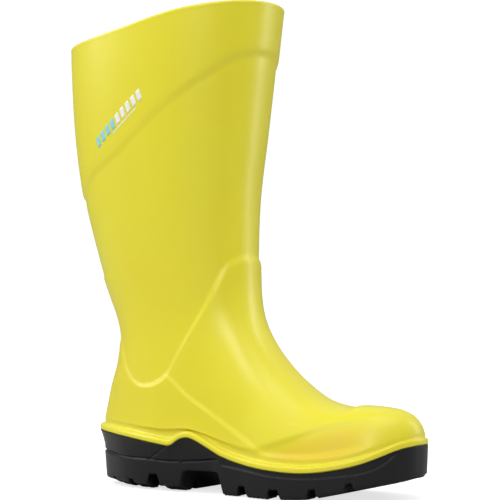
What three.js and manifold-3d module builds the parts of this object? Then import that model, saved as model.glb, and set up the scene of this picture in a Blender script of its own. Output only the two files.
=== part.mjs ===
// Tall safety wellington boot, right foot. Millimetres, toe towards +X, inner side +Y, up +Z.
// The outer surface is one smooth form: a leg made of level rounded sections, joined by a soft
// blend to a foot made of upright arched sections. A net of rings is laid over that form, and
// every layer of the boot is an offset of the same net, so that all layers follow one another.
import * as THREE from "three";
import Module from "manifold-3d";

const wasm = await Module();
wasm.setup();

// ---- sizes that can be set on their own ----
const TOE_X = 143.5; // front of the foot wall
const LEG_TOP = 378; // height of the leg at the front of the rim
const RIM_DROP = 24; // the rim is this much lower at the back
const RIM_CROWN = 2; // the rim rises by this at the sides
const FOOT_REAR_X = -86; // the foot form fades into the heel of the leg form here
const BALL_WIDTH = 94; // width of the foot wall at the ball
const CALF_WIDTH = 126; // width of the leg at the rim
const RAND_RISE = 9; // height of the lip and its bevel round the sole
const RAND_SIDE = 5; // the lip stands out this far at the sides and heel
const RAND_TOE = 2.6; // and this far at the toe
const LIP_HEIGHT = 4.5; // upright part of the lip
const SHELL_WALL = 3.6;
const SHELL_FLOOR = 3.7;
const LINING_WALL = 1.2;
const LINING_TOP_DROP = 2.5; // the lining ends this far below the rim
const CAP_WALL = 1.8; // steel toe cap
const CAP_REAR_X = 90;
const CAP_HEEL_UP = 3; // bottom edge of the cap above the shell floor
const STRIP_LENGTH = 10; // soft strip behind the cap
const PLATE_THICK = 0.8;
const BOARD_THICK = 2;
const FOAM_HEEL = 5;
const FOAM_TOE = 3;
const COVER_THICK = 0.8;
const FIT = 0.3; // clearance between touching pieces
const FOOT_RADIUS = 6; // height over which the inner wall curves in to the floor
const FOOT_CURVE = 3.5; // and how far it curves in
const BED_SPREAD = 4; // sole edge thickness at the level of the bed
const TREAD_INSET = 0.4; // the cleats stand this far inside the sole edge
const CHANNEL_WIDTH = 8; // gaps between cleats
const RING_CHANNEL = [19, 25]; // distances of the inner channel from the sole edge
const CHEVRON = 7; // how far each channel runs forward from its middle to the edge
const ARCH_REAR_X = -41; // front of the heel
const ARCH_FRONT_X = -3; // rear of the front tread
const AROUND = 40; // net: points per ring
const RINGS = 30; // net: rings from sole to rim
const BLEND = 34; // softness of the join between leg and foot
const HEEL_ROUND = 2.7; // 2 is an ellipse, more is squarer
const LEG_ROUND = 2.2;
const FOOT_ROUND = 2.4;

// A smooth curve through the knots, level beyond its ends.
function curve(xs, ys) {
  const n = xs.length;
  const slope = xs.map((_, i) => {
    const a = Math.max(i - 1, 0);
    const b = Math.min(i + 1, n - 1);
    return (ys[b] - ys[a]) / (xs[b] - xs[a]);
  });
  return (x) => {
    if (x <= xs[0]) return ys[0];
    if (x >= xs[n - 1]) return ys[n - 1];
    let i = 0;
    while (x > xs[i + 1]) i += 1;
    const h = xs[i + 1] - xs[i];
    const t = (x - xs[i]) / h;
    const s = 1 - t;
    return (
      s * s * (1 + 2 * t) * ys[i] +
      t * t * (3 - 2 * t) * ys[i + 1] +
      h * s * s * t * slope[i] -
      h * t * t * s * slope[i + 1]
    );
  };
}

// Stations ahead of the ankle follow the toe, and levels above the ankle follow the leg's top.
const ANKLE_X = -20;
const ANKLE_Z = 150;
const at = (x) => (x > ANKLE_X ? ANKLE_X + ((x - ANKLE_X) * (TOE_X - ANKLE_X)) / (143.5 - ANKLE_X) : x);
const up = (z) => (z > ANKLE_Z ? ANKLE_Z + ((z - ANKLE_Z) * (LEG_TOP - ANKLE_Z)) / (378 - ANKLE_Z) : z);
const wide = (w) => w.map((v) => (v * BALL_WIDTH) / 94);

// Leg, by height: back, front and half width.
const legZ = [0, 45, 75, 100, 122, 150, 185, 230, 280, 330, 390].map(up);
const legBack = curve(legZ, [-133.5, -136.5, -131.5, -124, -122.5, -133, -145, -157.5, -165, -168, -169.5]);
const legFront = curve(legZ, [5, 8, 8, 2, -3, -2, -3, -2, 4, 10, 17.5]);
const calf = CALF_WIDTH / 2;
const legHalf = curve(legZ, [35, 38.5, 39.5, 39.5, 40, 42, 45.5, calf - 12, calf - 6.5, calf - 2.5, calf]);
const legRound = curve([40, 90, 140], [HEEL_ROUND, (HEEL_ROUND + LEG_ROUND) / 2, LEG_ROUND]);

// Foot, by length: reach to the outer and the inner side, and height of the ridge.
const footX = [-90, -60, -25, 10, 45, 80, 105, 118, 128, 135.5, 141, 143.5].map(at);
const outer = curve(footX, wide([34, 34, 35, 42, 47.5, 46, 38.5, 32, 24.5, 17, 7.5, -6]));
const inner = curve(footX, wide([32, 29, 28.5, 34, 43, 47, 43.5, 40, 34.5, 28, 19.5, 7]));
const ridgeX = [-60, -40, -20, 0, 20, 40, 60, 80, 100, 118, 130, 137, 141.5, 143.5].map(at);
const ridge = curve(ridgeX, [187, 167, 148, 129, 107, 88, 74, 68.5, 68.5, 68, 65, 60.5, 54, 44]);
const footBase = curve([-146, -60, -15, 45, 100, 146].map(at), [32, 28, 24, 8, 16, 26]);

// Levels along the sole: edge between yellow and black, sole bed, ledge, tread top and tread foot.
const edgeX = [-142, -100, -58, -50, -35, -26, -5, 20, 45, 75, 98, 122, 142].map(at);
const edge = curve(edgeX, [40, 37, 34, 34.5, 41, 39, 28, 20, 18.5, 20, 26, 36, 41]);
const bed = curve([-145, -60, -15, 40, 75, 110, 127, 146].map(at), [20, 20, 18.5, 11.5, 12, 20, 25, 31]);
const ledge = curve([-145, -41, 0, 20, 52, 94, 110, 127, 146].map(at), [24, 24, 21, 15, 11.5, 14, 19, 30, 36]);
const treadTopX = [-145, -60, -41, -34, -10, 2, 60, 75, 90, 110, 127, 146].map(at);
const treadTop = curve(treadTopX, [9, 9, 10, 15, 14.5, 8, 6.5, 7, 10.5, 15.5, 20, 25]);
const treadFoot = curve([55, 75, 90, 110, 127, 146].map(at), [0, 0.6, 4, 9, 13.5, 18]);

// The larger of two values, and the smaller of two, rounded where they cross.
function softMax(a, b, k) {
  const h = Math.max(k - Math.abs(a - b), 0) / k;
  return Math.max(a, b) + (h * h * k) / 4;
}
const softMin = (a, b, k) => -softMax(-a, -b, k);
// Signed size of the gap from a point to the outer surface, negative inside.
function legField(x, y, z) {
  const mid = (legBack(z) + legFront(z)) / 2;
  const half = (legFront(z) - legBack(z)) / 2;
  const n = legRound(z);
  const power = Math.abs((x - mid) / half) ** n + Math.abs(y / legHalf(z)) ** n;
  const rho = Math.max(power ** (1 / n), 1e-6);
  return Math.hypot(x - mid, y) * (1 - 1 / rho);
}
function footField(x, y, z) {
  const out = outer(x);
  const inn = inner(x);
  const base = footBase(x);
  const dy = y - (inn - out) / 2;
  const dz = Math.max(z - base, 0);
  const power =
    Math.abs((2 * dy) / (out + inn)) ** FOOT_ROUND +
    Math.abs(dz / Math.max(ridge(x) - base, 1)) ** FOOT_ROUND;
  const rho = Math.max(power ** (1 / FOOT_ROUND), 1e-6);
  const side = softMax(Math.hypot(dy, dz) * (1 - 1 / rho), FOOT_REAR_X - x, 36);
  return x > TOE_X ? Math.max(side, x - TOE_X) : side;
}
function field([x, y, z]) {
  return softMin(legField(x, y, z), footField(x, y, z), BLEND);
}
function gradient([x, y, z]) {
  const e = 0.2;
  return [
    (field([x + e, y, z]) - field([x - e, y, z])) / (2 * e),
    (field([x, y + e, z]) - field([x, y - e, z])) / (2 * e),
    (field([x, y, z + e]) - field([x, y, z - e])) / (2 * e),
  ];
}
// Moves a point on to the surface.
function settle(point, times = 1) {
  let p = point;
  for (let i = 0; i < times; i += 1) {
    const g = gradient(p);
    const step = Math.min(Math.max(field(p), -6), 6) / Math.max(g[0] ** 2 + g[1] ** 2 + g[2] ** 2, 0.25);
    p = p.map((v, k) => v - g[k] * step);
  }
  return p;
}
const rimHeight = (c, s) => LEG_TOP - RIM_DROP * (1 - (c + 1) / 2) + RIM_CROWN * s * s;

// Where a ray from inside leaves the surface.
function leave(from, way) {
  const point = (t) => from.map((v, k) => v + way[k] * t);
  let far = 5;
  while (field(point(far)) < 0 && far < 220) far += 5;
  let near = far - 5;
  for (let i = 0; i < 24; i += 1) {
    const mid = (near + far) / 2;
    if (field(point(mid)) < 0) near = mid;
    else far = mid;
  }
  return point((near + far) / 2);
}

// The net: rays from an inner line give its first form.
const share = [0, 0.08, 0.18, 0.3, 0.42, 0.52, 0.62, 1];
const frontX = curve(share, [98, 100, 95, 60, 15, -25, -55, -72].map(at));
const frontZ = curve(share, [44, 46, 48, 50, 62, 95, 150, 386].map(up));
const frontTilt = curve(share, [0, 30, 70, 78, 62, 38, 15, 0]);
const backX = curve(share, [-100, -97, -92, -85, -78, -73, -70, -72]);
const backZ = curve(share, [46, 60, 80, 104, 128, 148, 170, 352].map(up));
const sideX = curve(share, [-5, -5, -8, -20, -35, -50, -62, -72]);
const sideZ = curve(share, [40, 48, 58, 75, 98, 125, 158, 370].map(up));
const LEG_SHARE = 0.62;
const smooth = (a, b, v) => {
  const t = Math.min(Math.max((v - a) / (b - a), 0), 1);
  return t * t * (3 - 2 * t);
};
function firstPoint(i, j) {
  const u = (2 * Math.PI * i) / AROUND;
  const v = j / (RINGS - 1);
  const c = Math.cos(u);
  const s = Math.sin(u);
  const fore = Math.max(c, 0);
  const aft = Math.max(-c, 0);
  const x = sideX(v) + (frontX(v) - sideX(v)) * fore + (backX(v) - sideX(v)) * aft;
  let z = sideZ(v) + (frontZ(v) - sideZ(v)) * fore ** 1.5 + (backZ(v) - sideZ(v)) * aft ** 1.5;
  if (v > LEG_SHARE) {
    const start = 158 - 8 * fore ** 1.5 + 12 * aft ** 1.5;
    z = start + ((rimHeight(c, s) - start) * (v - LEG_SHARE)) / (1 - LEG_SHARE);
  }
  const tilt = c > 0 ? (frontTilt(v) * Math.PI) / 180 : 0;
  const sharp = 3 - 2 * smooth(0, 0.6, v);
  const way = [
    Math.sign(c) * Math.abs(c) ** sharp * Math.cos(tilt),
    -s,
    j === 0 ? 0 : Math.sin(tilt) * Math.abs(c) ** 1.2,
  ];
  const size = Math.hypot(...way);
  if (j > 0) return leave([x, 0, z], way.map((w) => w / size));
  let p = [x, 0, 35];
  for (let k = 0; k < 4; k += 1) {
    p = leave([x, 0, p[2]], way.map((w) => w / size));
    p[2] = edge(p[0]) + RAND_RISE;
  }
  return p;
}
let net = [];
for (let j = 0; j < RINGS; j += 1) {
  net.push(Array.from({ length: AROUND }, (_, i) => firstPoint(i, j)));
}
// Then the net is evened out while it stays on the surface.
const wrap = (i) => (i + AROUND) % AROUND;
function slide(ring, i, height) {
  const a = ring[wrap(i - 1)];
  const b = ring[wrap(i + 1)];
  const run = b.map((v, k) => v - a[k]);
  const size = Math.hypot(...run);
  const ahead = ring[i].reduce((sum, v, k) => sum + (((a[k] + b[k]) / 2 - v) * run[k]) / size, 0);
  const p = settle(ring[i].map((v, k) => v + (ahead * 0.5 * run[k]) / size));
  p[2] = height(p);
  return p;
}
const LEG_AXIS = -75;
const rimAt = (p) => {
  const a = Math.atan2(-p[1], p[0] - LEG_AXIS);
  return rimHeight(Math.cos(a), Math.sin(a));
};
const soleAt = (p) => edge(p[0]) + RAND_RISE;
for (let pass = 0; pass < 110; pass += 1) {
  const old = net;
  net = old.map((ring, j) =>
    ring.map((p, i) => {
      if (j === 0) return slide(ring, i, soleAt);
      if (j === RINGS - 1) return slide(ring, i, rimAt);
      const mean = p.map(
        (v, k) =>
          (2 * v + old[j - 1][i][k] + old[j + 1][i][k] + ring[wrap(i - 1)][k] + ring[wrap(i + 1)][k]) / 6,
      );
      return settle(mean);
    }),
  );
}
const outward = net.map((ring) =>
  ring.map((p) => {
    const g = gradient(p);
    const size = Math.hypot(...g);
    return g.map((v) => v / size);
  }),
);
// One ring of the net, moved inwards by depth, a number or a function of the point.
function layer(j, depth) {
  return net[j].map((p, i) => {
    const d = typeof depth === "number" ? depth : depth(p);
    const q = p.map((v, k) => v - outward[j][i][k] * d);
    if (j === RINGS - 1) q[2] = p[2];
    return q;
  });
}

// The lowest ring seen from above, and rings parallel to it at any level.
const foot = net[0];
const sideways = foot.map((_, i) => {
  const a = foot[wrap(i - 1)];
  const b = foot[wrap(i + 1)];
  const size = Math.hypot(b[0] - a[0], b[1] - a[1]);
  return [-(b[1] - a[1]) / size, (b[0] - a[0]) / size];
});
const call = (f, x) => (typeof f === "number" ? f : f(x));
function wallRing(inset, level) {
  return foot.map((p, i) => {
    const d = call(inset, p[0]);
    const x = p[0] - sideways[i][0] * d;
    return [x, p[1] - sideways[i][1] * d, call(level, x)];
  });
}
const randOut = curve([90, 138].map(at), [RAND_SIDE, RAND_TOE]);
const soleRing = (inset, level) => wallRing((x) => call(inset, x) - randOut(x), level);

// The faces between neighbouring rings. Each quad is split from its lower ring's point to its upper
// ring's next point, whichever way the rings run, so that parallel layers have parallel faces.
function bandFaces(rings, pairs) {
  const height = rings.map((ring) => ring.reduce((sum, p) => sum + p[2], 0));
  const faces = [];
  for (const [j, k] of pairs) {
    for (let i = 0; i < AROUND; i += 1) {
      const a = j * AROUND + i;
      const b = j * AROUND + wrap(i + 1);
      const c = k * AROUND + wrap(i + 1);
      const d = k * AROUND + i;
      if (height[k] >= height[j]) faces.push([a, b, c], [a, c, d]);
      else faces.push([a, b, d], [b, c, d]);
    }
  }
  return faces;
}
function geometryFrom(spots, faces) {
  const volume = faces.reduce((sum, [a, b, c]) => {
    const [p, q, r] = [spots[a], spots[b], spots[c]];
    return (
      sum +
      p[0] * (q[1] * r[2] - q[2] * r[1]) +
      p[1] * (q[2] * r[0] - q[0] * r[2]) +
      p[2] * (q[0] * r[1] - q[1] * r[0])
    );
  }, 0);
  const facing = volume < 0 ? faces.map(([a, b, c]) => [a, c, b]) : faces;
  const geometry = new THREE.BufferGeometry();
  geometry.setAttribute("position", new THREE.Float32BufferAttribute(spots.flat(), 3));
  geometry.setIndex(facing.flat());
  return geometry;
}
const nextTo = (rings) => rings.slice(1).map((_, j) => [j, j + 1]);
// A closed body from rings: neighbours are joined, and the first and last are closed across.
function bodyOf(rings) {
  const faces = bandFaces(rings, nextTo(rings));
  const close = (start, flip) => {
    for (let i = 0; i < AROUND / 2; i += 1) {
      const a = start + i;
      const b = start + i + 1;
      const c = start + wrap(-i);
      const d = start + wrap(-i - 1);
      const add = (p, q, r) => faces.push(flip ? [p, r, q] : [p, q, r]);
      if (b !== d) add(a, d, b);
      if (a !== c) add(a, c, d);
    }
  };
  close(0, false);
  close((rings.length - 1) * AROUND, true);
  return geometryFrom(rings.flat(), faces);
}
// A tube: the rings run up the outside and down the inside, and the last joins the first.
function tubeOf(rings) {
  return geometryFrom(rings.flat(), bandFaces(rings, [...nextTo(rings), [rings.length - 1, 0]]));
}
function solid(geometry) {
  const g = geometry.index ? geometry : null;
  const position = geometry.getAttribute("position");
  const mesh = new wasm.Mesh({
    numProp: 3,
    vertProperties: new Float32Array(position.array),
    triVerts: g
      ? new Uint32Array(g.index.array)
      : Uint32Array.from({ length: position.count }, (_, i) => i),
  });
  mesh.merge();
  return new wasm.Manifold(mesh);
}
function geometryOf(made) {
  const mesh = made.getMesh();
  const spots = [];
  for (let i = 0; i < mesh.numVert; i += 1) {
    for (let k = 0; k < 3; k += 1) spots.push(mesh.vertProperties[i * mesh.numProp + k]);
  }
  const geometry = new THREE.BufferGeometry();
  geometry.setAttribute("position", new THREE.Float32BufferAttribute(spots, 3));
  geometry.setIndex([...mesh.triVerts]);
  return geometry;
}
function block(x0, x1, y0, y1, z0, z1) {
  const box = new THREE.BoxGeometry(x1 - x0, y1 - y0, z1 - z0);
  box.translate((x0 + x1) / 2, (y0 + y1) / 2, (z0 + z1) / 2);
  return solid(box);
}
function prism(points, depth, z) {
  const shape = new THREE.Shape(points.map(([x, y]) => new THREE.Vector2(x, y)));
  const made = new THREE.ExtrudeGeometry(shape, { depth, bevelEnabled: false });
  made.translate(0, 0, z);
  return solid(made);
}

// ---- upper shell ----
const floorTop = (x) => bed(x) + FIT + SHELL_FLOOR;
const inFrom = (h) => SHELL_WALL + FOOT_CURVE * Math.max(1 - h / FOOT_RADIUS, 0);
const all = [...net.keys()];
const shellGeometry = bodyOf([
  soleRing(BED_SPREAD + FIT, (x) => bed(x) + FIT),
  soleRing(FIT, (x) => edge(x) + FIT),
  soleRing(0, (x) => edge(x) + LIP_HEIGHT),
  ...all.map((j) => layer(j, 0)),
  ...all.toReversed().map((j) => layer(j, SHELL_WALL)),
  wallRing(inFrom(FOOT_RADIUS), (x) => floorTop(x) + FOOT_RADIUS),
  wallRing(inFrom(0), floorTop),
]);

// ---- toe cap, its strip and the lining ----
const capRear = at(CAP_REAR_X);
const stripRear = capRear - FIT - STRIP_LENGTH;
const capExtra = CAP_WALL + FIT;
const toeExtra = (x) => capExtra * smooth(stripRear - 30, stripRear - 13, x);
const capOut = SHELL_WALL + FIT;
const cavity = (depth) =>
  solid(
    bodyOf([
      wallRing(depth + FOOT_CURVE, floorTop),
      wallRing(depth, (x) => floorTop(x) + FOOT_RADIUS),
      ...all.slice(0, -8).map((j) => layer(j, depth)),
    ]),
  );
const capSkin = cavity(capOut).subtract(cavity(capOut + CAP_WALL));
const capLow = prism(
  [
    [stripRear - 5, floorTop(stripRear) + CAP_HEEL_UP],
    [capRear, floorTop(capRear) + CAP_HEEL_UP],
    [at(120), floorTop(at(120)) + CAP_HEEL_UP],
    [TOE_X + 10, floorTop(TOE_X) + CAP_HEEL_UP],
    [TOE_X + 10, 200],
    [stripRear - 5, 200],
  ],
  300,
  -150,
).rotate([90, 0, 0]);
const capZone = capSkin.intersect(capLow);
const wideBlock = (x0, x1) => block(x0, x1, -150, 150, 0, 200);
const capGeometry = geometryOf(capZone.intersect(wideBlock(capRear, TOE_X + 20)));
const stripGeometry = geometryOf(capZone.intersect(wideBlock(stripRear, capRear - FIT)));

const liningOut = (x) => FIT + toeExtra(x);
const liningDepth = (p) => SHELL_WALL + (p[2] < 110 ? liningOut(p[0]) : FIT);
const liningRing = (j, more) => layer(j, (p) => liningDepth(p) + more);
// The top ring slides down its own wall, so that it keeps its clearance.
function liningTop(more) {
  const below = liningRing(RINGS - 2, more);
  return liningRing(RINGS - 1, more).map((p, i) => {
    const t = LINING_TOP_DROP / (p[2] - below[i][2]);
    return p.map((v, k) => v + (below[i][k] - v) * t);
  });
}
const LINING_START = FIT + 0.05;
function liningFace(more) {
  const inset = (h) => (x) => inFrom(h) + liningOut(x) + more;
  return [
    wallRing(inset(LINING_START), (x) => floorTop(x) + LINING_START),
    wallRing(inset(FOOT_RADIUS), (x) => floorTop(x) + FOOT_RADIUS),
    ...all.slice(0, -1).map((j) => liningRing(j, more)),
    liningTop(more),
  ];
}
const liningGeometry = tubeOf([...liningFace(0), ...liningFace(LINING_WALL).toReversed()]);
// ---- pieces that lie on the shell floor ----
const stackInset = (x) => inFrom(0) + liningOut(x) + LINING_WALL + FIT;
const bedInset = (x) => inFrom(FOOT_RADIUS / 2) + liningOut(x) + LINING_WALL + FIT;
const slab = (inset, low, high) => bodyOf([wallRing(inset, low), wallRing(inset, high)]);
const plateLow = (x) => floorTop(x) + FIT;
const boardLow = (x) => plateLow(x) + PLATE_THICK + FIT;
const foamLow = (x) => boardLow(x) + BOARD_THICK + FIT;
const foamThick = curve([-60, 30].map(at), [FOAM_HEEL, FOAM_TOE]);
const coverLow = (x) => foamLow(x) + foamThick(x) + FIT;
const plateGeometry = slab((x) => stackInset(x) + 1, plateLow, (x) => plateLow(x) + PLATE_THICK);
const boardGeometry = slab(stackInset, boardLow, (x) => boardLow(x) + BOARD_THICK);
const foamGeometry = slab(bedInset, foamLow, (x) => foamLow(x) + foamThick(x));
const coverGeometry = slab(bedInset, coverLow, (x) => coverLow(x) + COVER_THICK);

// ---- outsole ----
const soleBase = solid(
  bodyOf([
    soleRing(BED_SPREAD, bed),
    soleRing(0, edge),
    soleRing(0, (x) => edge(x) - 1.2),
    soleRing(1.2, (x) => (edge(x) + ledge(x)) / 2),
    soleRing(0, ledge),
    soleRing(0.2, treadTop),
  ]),
);
const tread = solid(
  bodyOf([soleRing(TREAD_INSET, treadFoot), soleRing(TREAD_INSET, (x) => treadTop(x) + 0.6)]),
);
const ringCut = solid(
  bodyOf([soleRing(RING_CHANNEL[0], (x) => treadFoot(x) - 5), soleRing(RING_CHANNEL[0], treadTop)]),
).subtract(
  solid(
    bodyOf([
      soleRing(RING_CHANNEL[1], (x) => treadFoot(x) - 6),
      soleRing(RING_CHANNEL[1], (x) => treadTop(x) + 1),
    ]),
  ),
);
// A gap across the tread: it runs forward from the middle to both edges.
function chevronCut(x, way) {
  const w = CHANNEL_WIDTH / 2;
  const reach = 80;
  const lead = (way * CHEVRON * reach) / 45;
  const points = [
    [x - w, 0],
    [x - w + lead, -reach],
    [x + w + lead, -reach],
    [x + w, 0],
    [x + w + lead, reach],
    [x - w + lead, reach],
  ];
  const bottom = treadFoot(x) - 12;
  return prism(points, treadTop(x) - bottom, bottom);
}
const archCut = prism(
  [
    [ARCH_REAR_X, -5],
    [ARCH_REAR_X, 0],
    [ARCH_REAR_X + 4, 15.4],
    [at(ARCH_FRONT_X) - 5, 15.4],
    [at(ARCH_FRONT_X), 0],
    [at(ARCH_FRONT_X), -5],
  ],
  300,
  -150,
).rotate([90, 0, 0]);
const gaps = [19, 49, 81, 107].map((x) => chevronCut(at(x) - CHEVRON, 1));
const heelGaps = [-75, -110].map((x) => chevronCut(x - CHEVRON / 2, 0.5));
const cleats = [ringCut, archCut, ...gaps, ...heelGaps].reduce((rest, cut) => rest.subtract(cut), tread);
const soleGeometry = geometryOf(soleBase.add(cleats));

// ---- assembly ----
const look = (color, roughness, metalness = 0) =>
  new THREE.MeshStandardMaterial({ color, roughness, metalness });
const boot = new THREE.Group();
function piece(name, geometry, material) {
  const mesh = new THREE.Mesh(geometry, material);
  mesh.name = name;
  boot.add(mesh);
}
piece("upper_shell", shellGeometry, look(0xdfd63c, 0.48));
piece("lining", liningGeometry, look(0xb9bcbc, 0.92));
piece("toe_cap", capGeometry, look(0x8d9196, 0.38, 0.9));
piece("toe_cap_edge_strip", stripGeometry, look(0x2a2a2c, 0.8));
piece("penetration_plate", plateGeometry, look(0xa4a8ac, 0.33, 0.95));
piece("insole_board", boardGeometry, look(0xc9b78e, 0.85));
piece("footbed_foam", foamGeometry, look(0x3a3c40, 0.9));
piece("footbed_cover", coverGeometry, look(0x6f7478, 0.95));
piece("outsole", soleGeometry, look(0x1b1b1d, 0.62));

// The frame's origin is under the middle of the boot's outer box.
const size = new THREE.Box3().setFromObject(boot);
boot.position.set(-(size.min.x + size.max.x) / 2, -(size.min.y + size.max.y) / 2, -size.min.z);
const part = new THREE.Group();
part.add(boot);
export default part;
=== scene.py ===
"""Visual model of a tall safety wellington boot, right foot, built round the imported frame.

The boot's outer surface is one smooth form. A net of rings is laid over it, and every visible
layer is a finer copy of that net, moved in or out along the surface's own direction. Lengths
inside this file are millimetres in the boot's own axes: toe +X, inner side +Y, up +Z. They turn
into metres in the frame's axes in one place, Placement.
"""
import logging
import math
from dataclasses import dataclass, field
from enum import Enum
from typing import Callable, Sequence

import bmesh
import bpy
import numpy as np
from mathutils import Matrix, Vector


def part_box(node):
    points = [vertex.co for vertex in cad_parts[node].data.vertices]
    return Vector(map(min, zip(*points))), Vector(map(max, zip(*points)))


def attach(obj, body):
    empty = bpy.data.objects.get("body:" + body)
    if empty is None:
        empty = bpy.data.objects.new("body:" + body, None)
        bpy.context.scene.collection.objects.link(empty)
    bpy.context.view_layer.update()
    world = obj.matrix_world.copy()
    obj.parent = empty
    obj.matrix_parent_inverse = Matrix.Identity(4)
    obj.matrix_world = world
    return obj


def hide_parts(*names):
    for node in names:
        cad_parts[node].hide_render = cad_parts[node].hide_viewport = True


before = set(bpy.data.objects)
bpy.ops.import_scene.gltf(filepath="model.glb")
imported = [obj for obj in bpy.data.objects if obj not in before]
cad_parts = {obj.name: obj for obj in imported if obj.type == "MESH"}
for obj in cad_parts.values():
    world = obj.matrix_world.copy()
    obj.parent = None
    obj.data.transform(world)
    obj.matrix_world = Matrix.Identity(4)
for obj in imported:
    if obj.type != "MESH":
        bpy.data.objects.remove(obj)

LOG = logging.getLogger("boot")
Array = np.ndarray
Piece = bpy.types.Object
Material = bpy.types.Material
Tree = bpy.types.NodeTree
Node = bpy.types.Node
Socket = bpy.types.NodeSocket
Triple = tuple[float, float, float]
Pair = tuple[float, float]
Knots = Sequence[Pair]
HeightMap = Callable[[np.ndarray, np.ndarray], np.ndarray]
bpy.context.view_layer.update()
# Point attribute that carries painted shade into the moulded finishes.
SHADE_MARK = "mark"
CLOTH_MAP = "cloth"


class Body(Enum):
    """The rigid bodies of the frame."""

    BOOT = "boot"
    FOOTBED = "footbed"


# ---------------------------------------------------------------- curves and blends


class Curve:
    """A smooth curve y(x) through knots, level beyond its ends.

    Between two knots it is the cubic that has the knots' heights and, at each knot, the slope
    from the knot before to the knot after.
    """

    def __init__(self, xs: Sequence[float], ys: Sequence[float]) -> None:
        """Keeps the knots and works out the slope at each.

        Args:
            xs: where the knots are.
            ys: the height at each knot.
        """
        self.x = np.asarray(xs, float)
        self.y = np.asarray(ys, float)
        last = len(self.x) - 1
        before = np.maximum(np.arange(last + 1) - 1, 0)
        after = np.minimum(np.arange(last + 1) + 1, last)
        self.slope = (self.y[after] - self.y[before]) / (self.x[after] - self.x[before])

    def __call__(self, x: Array | float) -> Array:
        """Height of the curve at x.

        Args:
            x: where to read the curve.

        Returns:
            The heights, in x's layout.
        """
        x = np.clip(np.asarray(x, float), self.x[0], self.x[-1])
        i = np.clip(np.searchsorted(self.x, x, side="right") - 1, 0, len(self.x) - 2)
        span = self.x[i + 1] - self.x[i]
        t = (x - self.x[i]) / span
        s = 1 - t
        return (
            s * s * (1 + 2 * t) * self.y[i]
            + t * t * (3 - 2 * t) * self.y[i + 1]
            + span * s * s * t * self.slope[i]
            - span * t * t * s * self.slope[i + 1]
        )


def smooth(low: float, high: float, value: Array) -> Array:
    """0 below low, 1 above high, and an S between them: 3t^2 - 2t^3."""
    t = np.clip((np.asarray(value, float) - low) / (high - low), 0, 1)
    return t * t * (3 - 2 * t)


def soft_max(a: Array, b: Array, k: float) -> Array:
    """The larger of a and b, rounded over the width k where they cross."""
    h = np.maximum(k - np.abs(a - b), 0) / k
    return np.maximum(a, b) + h * h * k / 4


def soft_min(a: Array, b: Array, k: float) -> Array:
    """The smaller of a and b, rounded over the width k where they cross."""
    return -soft_max(-a, -b, k)


def unit(v: Array) -> Array:
    """The vectors of v at length 1."""
    return v / np.maximum(np.linalg.norm(v, axis=-1, keepdims=True), 1e-9)


class SideLine:
    """A line drawn on the boot's side view, as a chain of short straight runs."""

    def __init__(self, xz: Knots, steps: int = 5) -> None:
        """Smooths the corners of the chain xz.

        Args:
            xz: its points, each (x, z).
            steps: short runs made from each run.
        """
        spots = np.asarray(xz, float)
        reach = np.concatenate([[0], np.cumsum(np.linalg.norm(np.diff(spots, axis=0), axis=1))])
        fine = np.interp(np.arange(0, len(spots) - 1 + 1e-9, 1 / steps), np.arange(len(spots)), reach)
        self.points = np.stack([Curve(reach, spots[:, 0])(fine), Curve(reach, spots[:, 1])(fine)], 1)

    def distance(self, x: Array, z: Array) -> Array:
        """Distance from each point to the line: the least over its runs of the distance to a run.

        Args:
            x: distance along the foot, toe forward.
            z: height above the ground.

        Returns:
            The distances, never negative.
        """
        best = np.full(x.shape, 1e9)
        for a, b in zip(self.points[:-1], self.points[1:]):
            run = b - a
            t = np.clip(((x - a[0]) * run[0] + (z - a[1]) * run[1]) / max(run @ run, 1e-9), 0, 1)
            best = np.minimum(best, np.hypot(x - a[0] - t * run[0], z - a[1] - t * run[1]))
        return best

    def inside(self, x: Array, z: Array) -> Array:
        """True where a point lies inside the line closed on itself: a level ray meets it an odd
        number of times.

        Args:
            x: distance along the foot, toe forward.
            z: height above the ground.

        Returns:
            The truth at each point.
        """
        odd = np.zeros(x.shape, bool)
        ring = np.vstack([self.points, self.points[:1]])
        for a, b in zip(ring[:-1], ring[1:]):
            if a[1] != b[1]:
                crossing = (a[1] > z) != (b[1] > z)
                odd ^= crossing & (x < a[0] + (z - a[1]) * (b[0] - a[0]) / (b[1] - a[1]))
        return odd

    def signed(self, x: Array, z: Array) -> Array:
        """Distance to the closed line, positive outside it."""
        return np.where(self.inside(x, z), -1, 1) * self.distance(x, z)


# ---------------------------------------------------------------- the boot's form


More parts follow.
